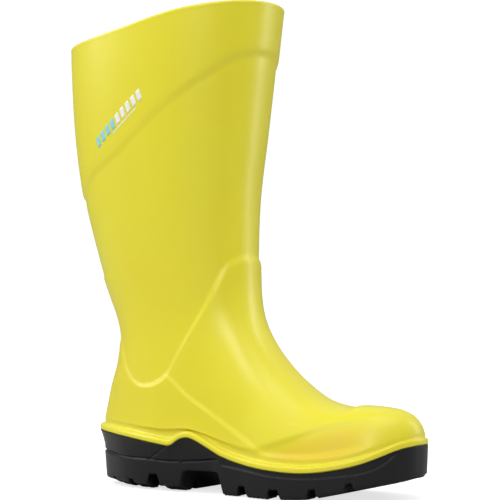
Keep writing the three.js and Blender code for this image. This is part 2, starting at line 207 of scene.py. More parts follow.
@dataclass
class BootForm:
    """The outer surface: a leg of level rounded sections, softly joined to a foot of upright
    arched sections. A point is outside where the field is positive."""

    toe: float = 143.5
    blend: float = 34.0
    foot_round: float = 2.4
    foot_rear: float = -86.0
    foot_fade: float = 36.0
    rim_front: float = 382.0
    rim_drop: float = 26.8
    rim_crown: float = -2.8
    rand_rise: float = 9.0
    leg_axis: float = -75.0
    leg_z: Sequence[float] = (0, 45, 75, 100, 122, 150, 185, 230, 280, 330, 390)
    leg_back: Sequence[float] = (
        -133.5, -136.5, -131.5, -124, -122.5, -133, -145, -157.5, -165, -168, -169.5
    )
    leg_front: Sequence[float] = (5, 8, 8, 2, -3, -2, -3, -2, 4, 10, 17.5)
    leg_half: Sequence[float] = (35, 38.5, 39.5, 39.5, 40, 42, 45.5, 51, 56.5, 60.5, 63)
    foot_x: Sequence[float] = (-90, -60, -25, 10, 45, 80, 105, 118, 128, 135.5, 141, 143.5)
    foot_outer: Sequence[float] = (34, 34, 35, 42, 47.5, 46, 38.5, 32, 24.5, 17, 7.5, -6)
    foot_inner: Sequence[float] = (32, 29, 28.5, 34, 43, 47, 43.5, 40, 34.5, 28, 19.5, 7)
    ridge_x: Sequence[float] = (-60, -40, -20, 0, 20, 40, 60, 80, 100, 118, 130, 137, 141.5, 143.5)
    ridge_z: Sequence[float] = (187, 167, 148, 129, 107, 88, 74, 68.5, 68.5, 68, 65, 60.5, 54, 44)
    curves: dict[str, Curve] = field(default_factory=dict)

    def __post_init__(self) -> None:
        """Makes the curves from the knots."""
        c = self.curves
        c["back"] = Curve(self.leg_z, self.leg_back)
        c["front"] = Curve(self.leg_z, self.leg_front)
        c["half"] = Curve(self.leg_z, self.leg_half)
        c["round"] = Curve((40, 90, 140), (2.7, 2.45, 2.2))
        c["outer"] = Curve(self.foot_x, self.foot_outer)
        c["inner"] = Curve(self.foot_x, self.foot_inner)
        c["ridge"] = Curve(self.ridge_x, self.ridge_z)
        c["base"] = Curve((-146, -60, -15, 45, 100, 146), (32, 28, 24, 8, 16, 26))
        c["edge"] = Curve(*zip(
            (-144, 44), (-127, 43.4), (-104, 41.6), (-90, 40.3), (-77, 38.9), (-55, 36.1), (-48.5, 35.5),
            (-45, 36.8), (-41, 39.6), (-37, 41.6), (-33, 42.4), (-29, 42.1), (-25, 40.8), (-15, 36.2),
            (-3, 30.4), (5, 27.8), (15, 25.4), (28, 23.3), (46, 21.5), (68, 20.8), (83, 21.8), (98, 24.2),
            (113, 28), (125, 33), (137, 39.1), (144, 41.4),
        ))
        c["net_edge"] = Curve(
            (-144, -104, -77, -58, -47, -33, -20, -5, 20, 45, 75, 98, 122, 144),
            (43.6, 41.4, 39.2, 37.7, 38.2, 40.7, 37.4, 31.6, 24.8, 21.8, 21.3, 24.4, 31.8, 41.2),
        )
        c["bed"] = Curve((-145, -60, -15, 40, 75, 110, 127, 146), (20, 20, 18.5, 11.5, 12, 20, 25, 31))

    def field(self, p: Array) -> Array:
        """Signed gap from each point of p to the surface, negative inside.

        In a section with half sizes A and B round a middle, rho = (|dx/A|^n + |dy/B|^n)^(1/n), and
        the gap along the line from the middle is r (1 - 1/rho). Leg and foot meet in a soft minimum.

        Args:
            p: points, shaped (..., 3).

        Returns:
            The gap at each point.
        """
        c, x, y, z = self.curves, p[..., 0], p[..., 1], p[..., 2]
        back, front, n = c["back"](z), c["front"](z), c["round"](z)
        dx, half = x - (back + front) / 2, (front - back) / 2
        rho = np.maximum((np.abs(dx / half) ** n + np.abs(y / c["half"](z)) ** n) ** (1 / n), 1e-6)
        leg = np.hypot(dx, y) * (1 - 1 / rho)
        out, inn, base = c["outer"](x), c["inner"](x), c["base"](x)
        dy, dz = y - (inn - out) / 2, np.maximum(z - base, 0)
        m = self.foot_round
        power = np.abs(2 * dy / (out + inn)) ** m + (dz / np.maximum(c["ridge"](x) - base, 1)) ** m
        rho = np.maximum(power ** (1 / m), 1e-6)
        foot = soft_max(np.hypot(dy, dz) * (1 - 1 / rho), self.foot_rear - x, self.foot_fade)
        foot = np.where(x > self.toe, np.maximum(foot, x - self.toe), foot)
        return soft_min(leg, foot, self.blend)

    def gradient(self, p: Array, e: float = 0.2) -> Array:
        """Slope of the field by central differences over 2e."""
        steps = np.eye(3) * e
        return np.stack([self.field(p + s) - self.field(p - s) for s in steps], -1) / (2 * e)

    def settle(self, p: Array, times: int = 1) -> Array:
        """Moves points on to the surface by Newton steps along the gradient.

        Args:
            p: points, shaped (..., 3).
            times: number of steps.

        Returns:
            The moved points.
        """
        for _ in range(times):
            g = self.gradient(p)
            step = np.clip(self.field(p), -6, 6) / np.maximum((g * g).sum(-1), 0.25)
            p = p - step[..., None] * g
        return p

    def rim(self, c: Array, s: Array) -> Array:
        """Height of the rim by the cosine and sine of the angle round the leg."""
        return self.rim_front - self.rim_drop * (1 - c) / 2 + self.rim_crown * s * s

    def leave(self, start: Array, way: Array) -> Array:
        """Where rays from inside leave the surface: coarse steps, then halving.

        Args:
            start: where each ray starts.
            way: which way each ray runs.

        Returns:
            The points on the surface.
        """
        near = np.zeros(start.shape[:-1])
        far = near + 220
        found = np.zeros(near.shape, bool)
        for step in np.arange(5.0, 221.0, 5.0):
            out = (self.field(start + way * step) > 0) & ~found
            near, far = np.where(out, step - 5, near), np.where(out, step, far)
            found |= out
        for _ in range(22):
            mid = (near + far) / 2
            inside = self.field(start + way * mid[..., None]) < 0
            near, far = np.where(inside, mid, near), np.where(inside, far, mid)
        return start + way * ((near + far) / 2)[..., None]


@dataclass
class Net:
    """Rings over the form, from just above the sole's lip to the rim. Ring points run from the
    toe by the outer side to the heel and back by the inner side."""

    form: BootForm
    around: int = 96
    rings: int = 64
    passes: int = 120
    leg_share: float = 0.62
    points: Array = field(default_factory=lambda: np.zeros(0))

    def __post_init__(self) -> None:
        """Casts the first net and evens it out."""
        self.points = self.even(self.cast())

    def cast(self) -> Array:
        """First net: rays fan out from a line inside the boot that runs from toe to rim.

        Returns:
            Points, shaped (rings, around, 3).
        """
        u = np.linspace(0, 2 * np.pi, self.around, endpoint=False)[None]
        v = np.linspace(0, 1, self.rings)[:, None]
        c, s = np.cos(u), np.sin(u)
        fore, aft = np.maximum(c, 0), np.maximum(-c, 0)
        share = (0, 0.08, 0.18, 0.3, 0.42, 0.52, self.leg_share, 1)
        front_x = Curve(share, (98, 100, 95, 60, 15, -25, -55, -72))(v)
        front_z = Curve(share, (44, 46, 48, 50, 62, 95, 150, 386))(v)
        tilt = np.radians(Curve(share, (0, 30, 70, 78, 62, 38, 15, 0))(v)) * (c > 0)
        back_x = Curve(share, (-100, -97, -92, -85, -78, -73, -70, -72))(v)
        back_z = Curve(share, (46, 60, 80, 104, 128, 148, 170, 352))(v)
        side_x = Curve(share, (-5, -5, -8, -20, -35, -50, -62, -72))(v)
        side_z = Curve(share, (40, 48, 58, 75, 98, 125, 158, 370))(v)
        x = side_x + (front_x - side_x) * fore + (back_x - side_x) * aft
        z = side_z + (front_z - side_z) * fore**1.5 + (back_z - side_z) * aft**1.5
        start = 158 - 8 * fore**1.5 + 12 * aft**1.5
        climb = (v - self.leg_share) / (1 - self.leg_share)
        z = np.where(v > self.leg_share, start + (self.form.rim(c, s) - start) * climb, z)
        sharp = 3 - 2 * smooth(0, 0.6, v)
        ahead = np.sign(c) * np.abs(c) ** sharp * np.cos(tilt)
        way = np.stack([ahead, -s + 0 * v, np.sin(tilt) * np.abs(c) ** 1.2], -1)
        net = self.form.leave(np.stack([x, 0 * x, z], -1), unit(way))
        flat = unit(way[0] * (1, 1, 0))
        ring = np.stack([x[0], 0 * x[0], np.full(self.around, 35.0)], -1)
        for _ in range(4):
            hit = self.form.leave(ring, flat)
            ring[:, 2] = self.foot_level(hit)
        net[0] = hit
        net[0, :, 2] = ring[:, 2]
        return net

    def foot_level(self, p: Array) -> Array:
        """Height of the lowest ring above a point."""
        return self.form.curves["net_edge"](p[..., 0]) + self.form.rand_rise

    def rim_level(self, p: Array) -> Array:
        """Height of the rim above a point."""
        a = np.arctan2(-p[..., 1], p[..., 0] - self.form.leg_axis)
        return self.form.rim(np.cos(a), np.sin(a))

    def even(self, net: Array) -> Array:
        """Evens out the net: each point moves to the mean of itself, counted twice, and its four
        neighbours, and back on to the surface; end rings slide along themselves.

        Args:
            net: points, shaped (rings, around, 3).

        Returns:
            The net, evened out.
        """
        for _ in range(self.passes):
            left, right = np.roll(net, -1, 1), np.roll(net, 1, 1)
            new = net.copy()
            new[1:-1] = (2 * net[1:-1] + net[:-2] + net[2:] + left[1:-1] + right[1:-1]) / 6
            for end in (0, -1):
                run = unit(left[end] - right[end])
                ahead = (((left[end] + right[end]) / 2 - net[end]) * run).sum(-1, keepdims=True)
                new[end] = net[end] + ahead * run / 2
            net = self.form.settle(new)
            net[0, :, 2] = self.foot_level(net[0])
            net[-1, :, 2] = self.rim_level(net[-1])
        return net

    def fine(self, around: int, rings: int) -> Array:
        """A finer net: a Catmull-Rom surface through the coarse one, settled on the form.

        Args:
            around: points in each ring.
            rings: number of rings.

        Returns:
            Points, shaped (rings, around, 3).
        """
        up = resample(self.points, rings, 0, False)
        up = resample(up, around, 1, True)
        up = self.form.settle(up, 2)
        up[0, :, 2] = self.foot_level(up[0])
        up[-1, :, 2] = self.rim_level(up[-1])
        return up


def resample(rows: Array, count: int, axis: int, closed: bool) -> Array:
    """Catmull-Rom samples along one axis: each is a weighted sum of the four nearest rows.

    Args:
        rows: the points.
        count: how many samples to make.
        axis: the axis to sample along.
        closed: True if the axis comes back to its start.

    Returns:
        The samples, with the axis count long.
    """
    rows = np.moveaxis(rows, axis, 0)
    n = len(rows)
    where = np.arange(count) * (n / count) if closed else np.linspace(0, n - 1, count)
    i = np.floor(where).astype(int)
    if not closed:
        i = np.minimum(i, n - 2)
    t = (where - i).reshape((-1,) + (1,) * (rows.ndim - 1))

    def tap(k: int) -> Array:
        """The row k steps from i, mirrored through the ends of an open axis.

        Args:
            k: steps from each sample's own row.

        Returns:
            One row for each sample.
        """
        j = i + k
        if closed:
            return rows[j % n]
        inside = rows[np.clip(j, 0, n - 1)]
        low = (j < 0).reshape(t.shape)
        high = (j > n - 1).reshape(t.shape)
        inside = np.where(low, 2 * rows[0] - rows[1], inside)
        return np.where(high, 2 * rows[-1] - rows[-2], inside)

    a, b, c, d = tap(-1), tap(0), tap(1), tap(2)
    out = b + 0.5 * t * (c - a + t * (2 * a - 5 * b + 4 * c - d + t * (3 * (b - c) + d - a)))
    return np.moveaxis(out, 0, axis)


class SoleOutline:
    """Rings parallel to the lowest ring of a net, seen from above."""

    rand_side = 5.0
    rand_toe = 2.6

    def __init__(self, ring: Array) -> None:
        """Takes the net's lowest ring and finds which way is out of it.

        Args:
            ring: points of the net's lowest ring.
        """
        self.ring = ring
        run = np.roll(ring, -1, 0) - np.roll(ring, 1, 0)
        for _ in range(6):
            run = (np.roll(run, -1, 0) + 2 * run + np.roll(run, 1, 0)) / 4
        self.out = unit(np.stack([-run[:, 1], run[:, 0]], -1))
        self.rand = Curve((90, 138), (self.rand_side, self.rand_toe))(ring[:, 0])

    def at(self, outward: Array | float, level: Array | Callable[[Array], Array]) -> Array:
        """A ring moved out from the wall by outward, at a level, or at level(x)."""
        xy = self.ring[:, :2] + self.out * np.broadcast_to(outward, len(self.ring))[:, None]
        z = level(xy[:, 0]) if callable(level) else np.broadcast_to(level, len(self.ring))
        return np.concatenate([xy, np.asarray(z)[:, None]], 1)

    def sole(self, inset: Array | float, level: Array | Callable[[Array], Array]) -> Array:
        """A ring inside the sole's own edge by inset."""
        return self.at(self.rand - inset, level)


# ---------------------------------------------------------------- meshes


@dataclass
class Placement:
    """Turns the boot's own millimetres into the frame's metres."""

    shift: Array

    def metres(self, p: Array) -> Array:
        """Points in metres, in the frame's axes."""
        return (p.reshape(-1, 3) + self.shift) * 0.001


class Skin:
    """Points and faces of one closed piece, gathered ring by ring."""

    def __init__(self) -> None:
        """Starts empty."""
        self.points: list[Array] = []
        self.faces: list[Array] = []
        self.marks: list[Array] = []
        self.count = 0

    def add(self, points: Array, mark: Array | float = 0.0) -> Array:
        """Adds points and returns their numbers, in the same layout.

        Args:
            points: shaped (..., 3).
            mark: a value kept with each point for its material to read.

        Returns:
            Each point's number.
        """
        shape = points.shape[:-1]
        number = np.arange(self.count, self.count + int(np.prod(shape))).reshape(shape)
        self.points.append(points.reshape(-1, 3))
        self.marks.append(np.broadcast_to(mark, shape).reshape(-1))
        self.count += number.size
        return number

    def band(self, rows: Array, closed: bool = True) -> None:
        """Quads between neighbouring rows of point numbers, joined end to end if closed.

        Args:
            rows: point numbers, shaped (rows, points).
            closed: True if each row comes back to its start.
        """
        across = np.concatenate([rows, rows[:, :1]], 1) if closed else rows
        a, b = across[:-1, :-1], across[:-1, 1:]
        c, d = across[1:, 1:], across[1:, :-1]
        self.faces.append(np.stack([a, b, c, d], -1).reshape(-1, 4))

    def bridge(self, ring: Array, inner: Array | None = None) -> None:
        """Closes a ring with rungs from its outer side to its inner side.

        Args:
            ring: point numbers of the ring, toe first.
            inner: numbers of the points along each rung, shaped (rungs, points), or None.
        """
        half = len(ring) // 2
        left, right = ring[1:half], ring[:half:-1]
        rungs = np.stack([left, right], 1)
        if inner is not None:
            rungs = np.concatenate([left[:, None], inner, right[:, None]], 1)
        self.band(rungs.T, closed=False)
        for tip, rung in ((ring[0], rungs[0][::-1]), (ring[half], rungs[-1])):
            fan = np.stack([np.full(len(rung) - 1, tip), rung[:-1], rung[1:]], 1)
            self.faces.append(fan)

    def piece(self, name: str, place: Placement, finish: Material) -> Piece:
        """Makes the mesh object.

        Args:
            name: the piece's name.
            place: turns its points into metres.
            finish: its material.

        Returns:
            The object, smooth shaded, at the origin, with its marks in the attribute that
            SHADE_MARK names.
        """
        mesh = bpy.data.meshes.new(name)
        corners = [face for faces in self.faces for face in faces.tolist()]
        mesh.from_pydata(place.metres(np.concatenate(self.points)), [], corners)
        whole = bmesh.new()
        whole.from_mesh(mesh)
        bmesh.ops.recalc_face_normals(whole, faces=whole.faces)
        whole.to_mesh(mesh)
        whole.free()
        mesh.polygons.foreach_set("use_smooth", np.ones(len(mesh.polygons), bool))
        layer = mesh.attributes.new(SHADE_MARK, "FLOAT", "POINT")
        layer.data.foreach_set("value", np.concatenate(self.marks).astype(np.float32))
        mesh.materials.append(finish)
        mesh.validate()
        mesh.update()
        made = bpy.data.objects.new(name, mesh)
        bpy.context.scene.collection.objects.link(made)
        return made


# ---------------------------------------------------------------- finishes


class Nodes:
    """Short hand for building a node tree."""

    def __init__(self, tree: Tree) -> None:
        """Keeps the tree."""
        self.tree = tree

    def add(self, kind: str, inputs: dict | None = None, **settings: object) -> Node:
        """A node of a kind, with its settings, and its inputs set or linked.

        Args:
            kind: the node's type name.
            inputs: socket name or number to a value or to another node's output.
            settings: attributes of the node.

        Returns:
            The node.
        """
        node = self.tree.nodes.new(kind)
        for key, value in settings.items():
            setattr(node, key, value)
        for key, value in (inputs or {}).items():
            if isinstance(value, Socket):
                self.tree.links.new(value, node.inputs[key])
            else:
                node.inputs[key].default_value = value
        return node

    def math(self, how: str, a: object, b: object = 0.0, clamp: bool = False) -> Socket:
        """The result of one Math node."""
        return self.add("ShaderNodeMath", {0: a, 1: b}, operation=how, use_clamp=clamp).outputs[0]

    def ramp(
        self, value: object, low: float, high: float, start: float = 0.0, end: float = 1.0
    ) -> Socket:
        """value from low..high turned smoothly into start..end."""
        inputs = {"Value": value, "From Min": low, "From Max": high, "To Min": start, "To Max": end}
        return self.add("ShaderNodeMapRange", inputs, interpolation_type="SMOOTHSTEP").outputs[0]

    def mix(self, share: object, a: object, b: object) -> Socket:
        """Colour a turned into colour b by share.

        Args:
            share: share of b, 0 to 1.
            a: the first colour.
            b: the second colour.

        Returns:
            The colour's socket.
        """
        node = self.add("ShaderNodeMix", data_type="RGBA", clamp_factor=True)
        for socket, value in ((node.inputs[0], share), (node.inputs[6], a), (node.inputs[7], b)):
            if isinstance(value, Socket):
                self.tree.links.new(value, socket)
            else:
                socket.default_value = value
        return node.outputs[2]

    def noise(
        self, vector: object, scale: object, detail: float = 3.0, rough: float = 0.55
    ) -> Socket:
        """The height of a noise texture, about 0 to 1."""
        inputs = {"Vector": vector, "Scale": scale, "Detail": detail, "Roughness": rough}
        return self.add("ShaderNodeTexNoise", inputs).outputs["Fac"]


def new_group(
    name: str, ins: Sequence[tuple[str, str, float]], outs: Sequence[str]
) -> tuple[Tree, Nodes, Node, Node]:
    """An empty shader node group.

    Args:
        name: its name.
        ins: its inputs, each (name, socket type, first value).
        outs: its outputs, all plain values.

    Returns:
        The tree, its builder, its input node and its output node.
    """
    tree = bpy.data.node_groups.new(name, "ShaderNodeTree")
    for label, kind, value in ins:
        socket = tree.interface.new_socket(label, in_out="INPUT", socket_type=kind)
        if kind == "NodeSocketFloat":
            socket.default_value = value
    for label in outs:
        tree.interface.new_socket(label, in_out="OUTPUT", socket_type="NodeSocketFloat")
    kit = Nodes(tree)
    return tree, kit, kit.add("NodeGroupInput"), kit.add("NodeGroupOutput")


class Effects:
    """Node groups that several finishes share."""

    def __init__(self) -> None:
        """Builds each group once."""
        self.grain = self.build_grain()
        self.scuff = self.build_scuff()
        self.knit = self.build_knit()

    def build_grain(self) -> Tree:
        """Skin of a moulding: fine pits, soft waviness and slow changes of tone.

        Returns:
            The group.
        """
        ins = [
            ("Vector", "NodeSocketVector", 0.0),
            ("Pits", "NodeSocketFloat", 900.0),
            ("Depth", "NodeSocketFloat", 1.0),
        ]
        tree, kit, i, o = new_group("moulded_grain", ins, ("Height", "Tone", "Patch"))
        v = i.outputs["Vector"]
        pits = kit.noise(v, i.outputs["Pits"], 2.0, 0.6)
        wave = kit.noise(v, 55.0, 2.0, 0.5)
        patch = kit.noise(v, 11.0, 3.0, 0.55)
        height = kit.math("ADD", kit.math("MULTIPLY", pits, 0.35), kit.math("MULTIPLY", wave, 1.2))
        kit.tree.links.new(kit.math("MULTIPLY", height, i.outputs["Depth"]), o.inputs["Height"])
        kit.tree.links.new(kit.ramp(pits, 0.35, 0.65), o.inputs["Tone"])
        kit.tree.links.new(kit.ramp(patch, 0.3, 0.7), o.inputs["Patch"])
        return tree

    def build_scuff(self) -> Tree:
        """Light rub marks: thin stretched streaks that show only in some patches.

        Returns:
            The group.
        """
        ins = [("Vector", "NodeSocketVector", 0.0), ("Amount", "NodeSocketFloat", 0.5)]
        tree, kit, i, o = new_group("rub_marks", ins, ("Mask",))
        stretch = {"Vector": i.outputs["Vector"], "Rotation": (0.3, 0.5, 0.2), "Scale": (40, 40, 420)}
        turned = kit.add("ShaderNodeMapping", stretch)
        streak = kit.noise(turned.outputs[0], 1.0, 2.0, 0.5)
        where = kit.noise(i.outputs["Vector"], 26.0, 2.0, 0.5)
        thin = kit.ramp(streak, 0.66, 0.74)
        mask = kit.math("MULTIPLY", thin, kit.ramp(where, 0.55, 0.68))
        kit.tree.links.new(kit.math("MULTIPLY", mask, i.outputs["Amount"], True), o.inputs["Mask"])
        return tree

    def build_knit(self) -> Tree:
        """Rows of knitted loops on a map in millimetres: two leaning threads per loop.

        Returns:
            The group.
        """
        ins = [("Vector", "NodeSocketVector", 0.0), ("Pitch", "NodeSocketFloat", 1.6)]
        tree, kit, i, o = new_group("knit", ins, ("Height", "Tone"))
        parts = kit.add("ShaderNodeSeparateXYZ", {0: i.outputs["Vector"]})
        across = kit.math("DIVIDE", parts.outputs[0], i.outputs["Pitch"])
        along = kit.math("DIVIDE", parts.outputs[1], i.outputs["Pitch"])
        fold = kit.math("PINGPONG", across, 0.5)
        lean = kit.math("ADD", along, kit.math("MULTIPLY", fold, 1.1))
        loops = kit.math("ABSOLUTE", kit.math("SINE", kit.math("MULTIPLY", lean, math.pi)))
        rib = kit.math("SINE", kit.math("MULTIPLY", fold, 2 * math.pi))
        height = kit.math("MULTIPLY", loops, kit.math("POWER", kit.math("ABSOLUTE", rib), 0.5))
        kit.tree.links.new(height, o.inputs["Height"])
        kit.tree.links.new(kit.ramp(height, 0.1, 0.8), o.inputs["Tone"])
        return tree


def colour(r: float, g: float, b: float) -> tuple[float, float, float, float]:
    """A colour with full cover."""
    return (r, g, b, 1.0)


def start_material(name: str) -> tuple[Material, Nodes, Node, Socket]:
    """A new material.

    Args:
        name: the material's name.

    Returns:
        The material, its node builder, its Principled shader and the object coordinates.
    """
    made = bpy.data.materials.new(name)
    made.use_nodes = True
    kit = Nodes(made.node_tree)
    shader = made.node_tree.nodes["Principled BSDF"]
    place = kit.add("ShaderNodeTexCoord").outputs["Object"]
    return made, kit, shader, place


@dataclass(frozen=True)
class MouldedFinish:
    """Moulded polyurethane or rubber: its colours, gloss and grain, and the colour of its painted shade.
    """

    name: str
    main: Triple
    deep: Triple
    rubbed: Triple
    painted_shade: Triple
    gloss_low: float
    gloss_high: float
    pits: float
    depth: float
    bump: float
    scuffs: float
    coat: float
    specular: float

    def build(self, effects: Effects) -> Material:
        """The material: patches of tone, pits, rub marks, and painted shade where the shade mark says so.

        Args:
            effects: the shared shader groups.

        Returns:
            The material.
        """
        made, kit, shader, place = start_material(self.name)
        grain = kit.add("ShaderNodeGroup", {}, node_tree=effects.grain)
        kit.tree.links.new(place, grain.inputs["Vector"])
        grain.inputs["Pits"].default_value = self.pits
        grain.inputs["Depth"].default_value = self.depth
        rub = kit.add("ShaderNodeGroup", {}, node_tree=effects.scuff)
        kit.tree.links.new(place, rub.inputs["Vector"])
        rub.inputs["Amount"].default_value = self.scuffs
        # Painted shade: the mark attribute turns the base colour toward the shade colour and roughens it
        # a little.
        painted_shade = kit.add("ShaderNodeAttribute", attribute_name=SHADE_MARK).outputs["Fac"]
        patch = kit.math("MULTIPLY", grain.outputs["Patch"], 0.6)
        tone = kit.math("ADD", patch, kit.math("MULTIPLY", grain.outputs["Tone"], 0.25))
        base = kit.mix(tone, colour(*self.main), colour(*self.deep))
        base = kit.mix(kit.math("MULTIPLY", painted_shade, 0.9, True), base, colour(*self.painted_shade))
        base = kit.mix(rub.outputs["Mask"], base, colour(*self.rubbed))
        kit.tree.links.new(base, shader.inputs["Base Color"])
        rough = kit.ramp(grain.outputs["Patch"], 0.0, 1.0, self.gloss_low, self.gloss_high)
        rough = kit.math("ADD", rough, kit.math("MULTIPLY", rub.outputs["Mask"], 0.2))
        rough = kit.math("ADD", rough, kit.math("MULTIPLY", painted_shade, 0.1), True)
        kit.tree.links.new(rough, shader.inputs["Roughness"])
        relief = {"Strength": self.bump, "Distance": 0.0004, "Height": grain.outputs["Height"]}
        bump = kit.add("ShaderNodeBump", relief)
        kit.tree.links.new(bump.outputs[0], shader.inputs["Normal"])
        shader.inputs["Coat Weight"].default_value = self.coat
        shader.inputs["Coat Roughness"].default_value = 0.32
        shader.inputs["Specular IOR Level"].default_value = self.specular
        return made


@dataclass(frozen=True)
class ClothFinish:
    """Knitted or woven cloth on a piece's own map in millimetres."""

    name: str
    thread: Triple
    gap: Triple
    pitch: float
    bump: float

    def build(self, effects: Effects) -> Material:
        """The material: loops of thread with darker gaps, fuzz and slow soiling.

        Args:
            effects: the shared shader groups.

        Returns:
            The material.
        """
        made, kit, shader, place = start_material(self.name)
        cloth = kit.add("ShaderNodeUVMap", uv_map=CLOTH_MAP).outputs[0]
        knit = kit.add("ShaderNodeGroup", {}, node_tree=effects.knit)
        kit.tree.links.new(cloth, knit.inputs["Vector"])
        knit.inputs["Pitch"].default_value = self.pitch
        fuzz = kit.noise(place, 1400.0, 3.0, 0.7)
        soil = kit.noise(place, 18.0, 3.0, 0.6)
        base = kit.mix(knit.outputs["Tone"], colour(*self.gap), colour(*self.thread))
        soiled = colour(*(0.6 * c for c in self.gap))
        base = kit.mix(kit.math("MULTIPLY", kit.ramp(soil, 0.4, 0.75), 0.35), base, soiled)
        kit.tree.links.new(base, shader.inputs["Base Color"])
        kit.tree.links.new(kit.ramp(fuzz, 0.2, 0.8, 0.82, 0.98), shader.inputs["Roughness"])
        height = kit.math("ADD", knit.outputs["Height"], kit.math("MULTIPLY", fuzz, 0.35))
        bump = kit.add("ShaderNodeBump", {"Strength": self.bump, "Distance": 0.0005, "Height": height})
        kit.tree.links.new(bump.outputs[0], shader.inputs["Normal"])
        shader.inputs["Sheen Weight"].default_value = 0.25
        shader.inputs["Sheen Roughness"].default_value = 0.5
        shader.inputs["Specular IOR Level"].default_value = 0.25
        return made


@dataclass(frozen=True)
class SheetFinish:
    """Plain sheet stock: pressed steel, fibre board or foam."""

    name: str
    light: Triple
    dark: Triple
    metal: float
    rough_low: float
    rough_high: float
    grain: Triple
    bump: float

    def build(self) -> Material:
        """The material: stretched grain, stains and uneven gloss.

        Returns:
            The material.
        """
        made, kit, shader, place = start_material(self.name)
        turned = kit.add("ShaderNodeMapping", {"Vector": place, "Scale": self.grain})
        lines = kit.noise(turned.outputs[0], 1.0, 4.0, 0.6)
        stain = kit.noise(place, 30.0, 3.0, 0.6)
        base = kit.mix(kit.ramp(lines, 0.3, 0.7), colour(*self.dark), colour(*self.light))
        base = kit.mix(kit.math("MULTIPLY", kit.ramp(stain, 0.5, 0.8), 0.4), base, colour(*self.dark))
        kit.tree.links.new(base, shader.inputs["Base Color"])
        rough = kit.ramp(stain, 0.3, 0.7, self.rough_low, self.rough_high)
        kit.tree.links.new(rough, shader.inputs["Roughness"])
        bump = kit.add("ShaderNodeBump", {"Strength": self.bump, "Distance": 0.0003, "Height": lines})
        kit.tree.links.new(bump.outputs[0], shader.inputs["Normal"])
        shader.inputs["Metallic"].default_value = self.metal
        return made


# ---------------------------------------------------------------- upper shell


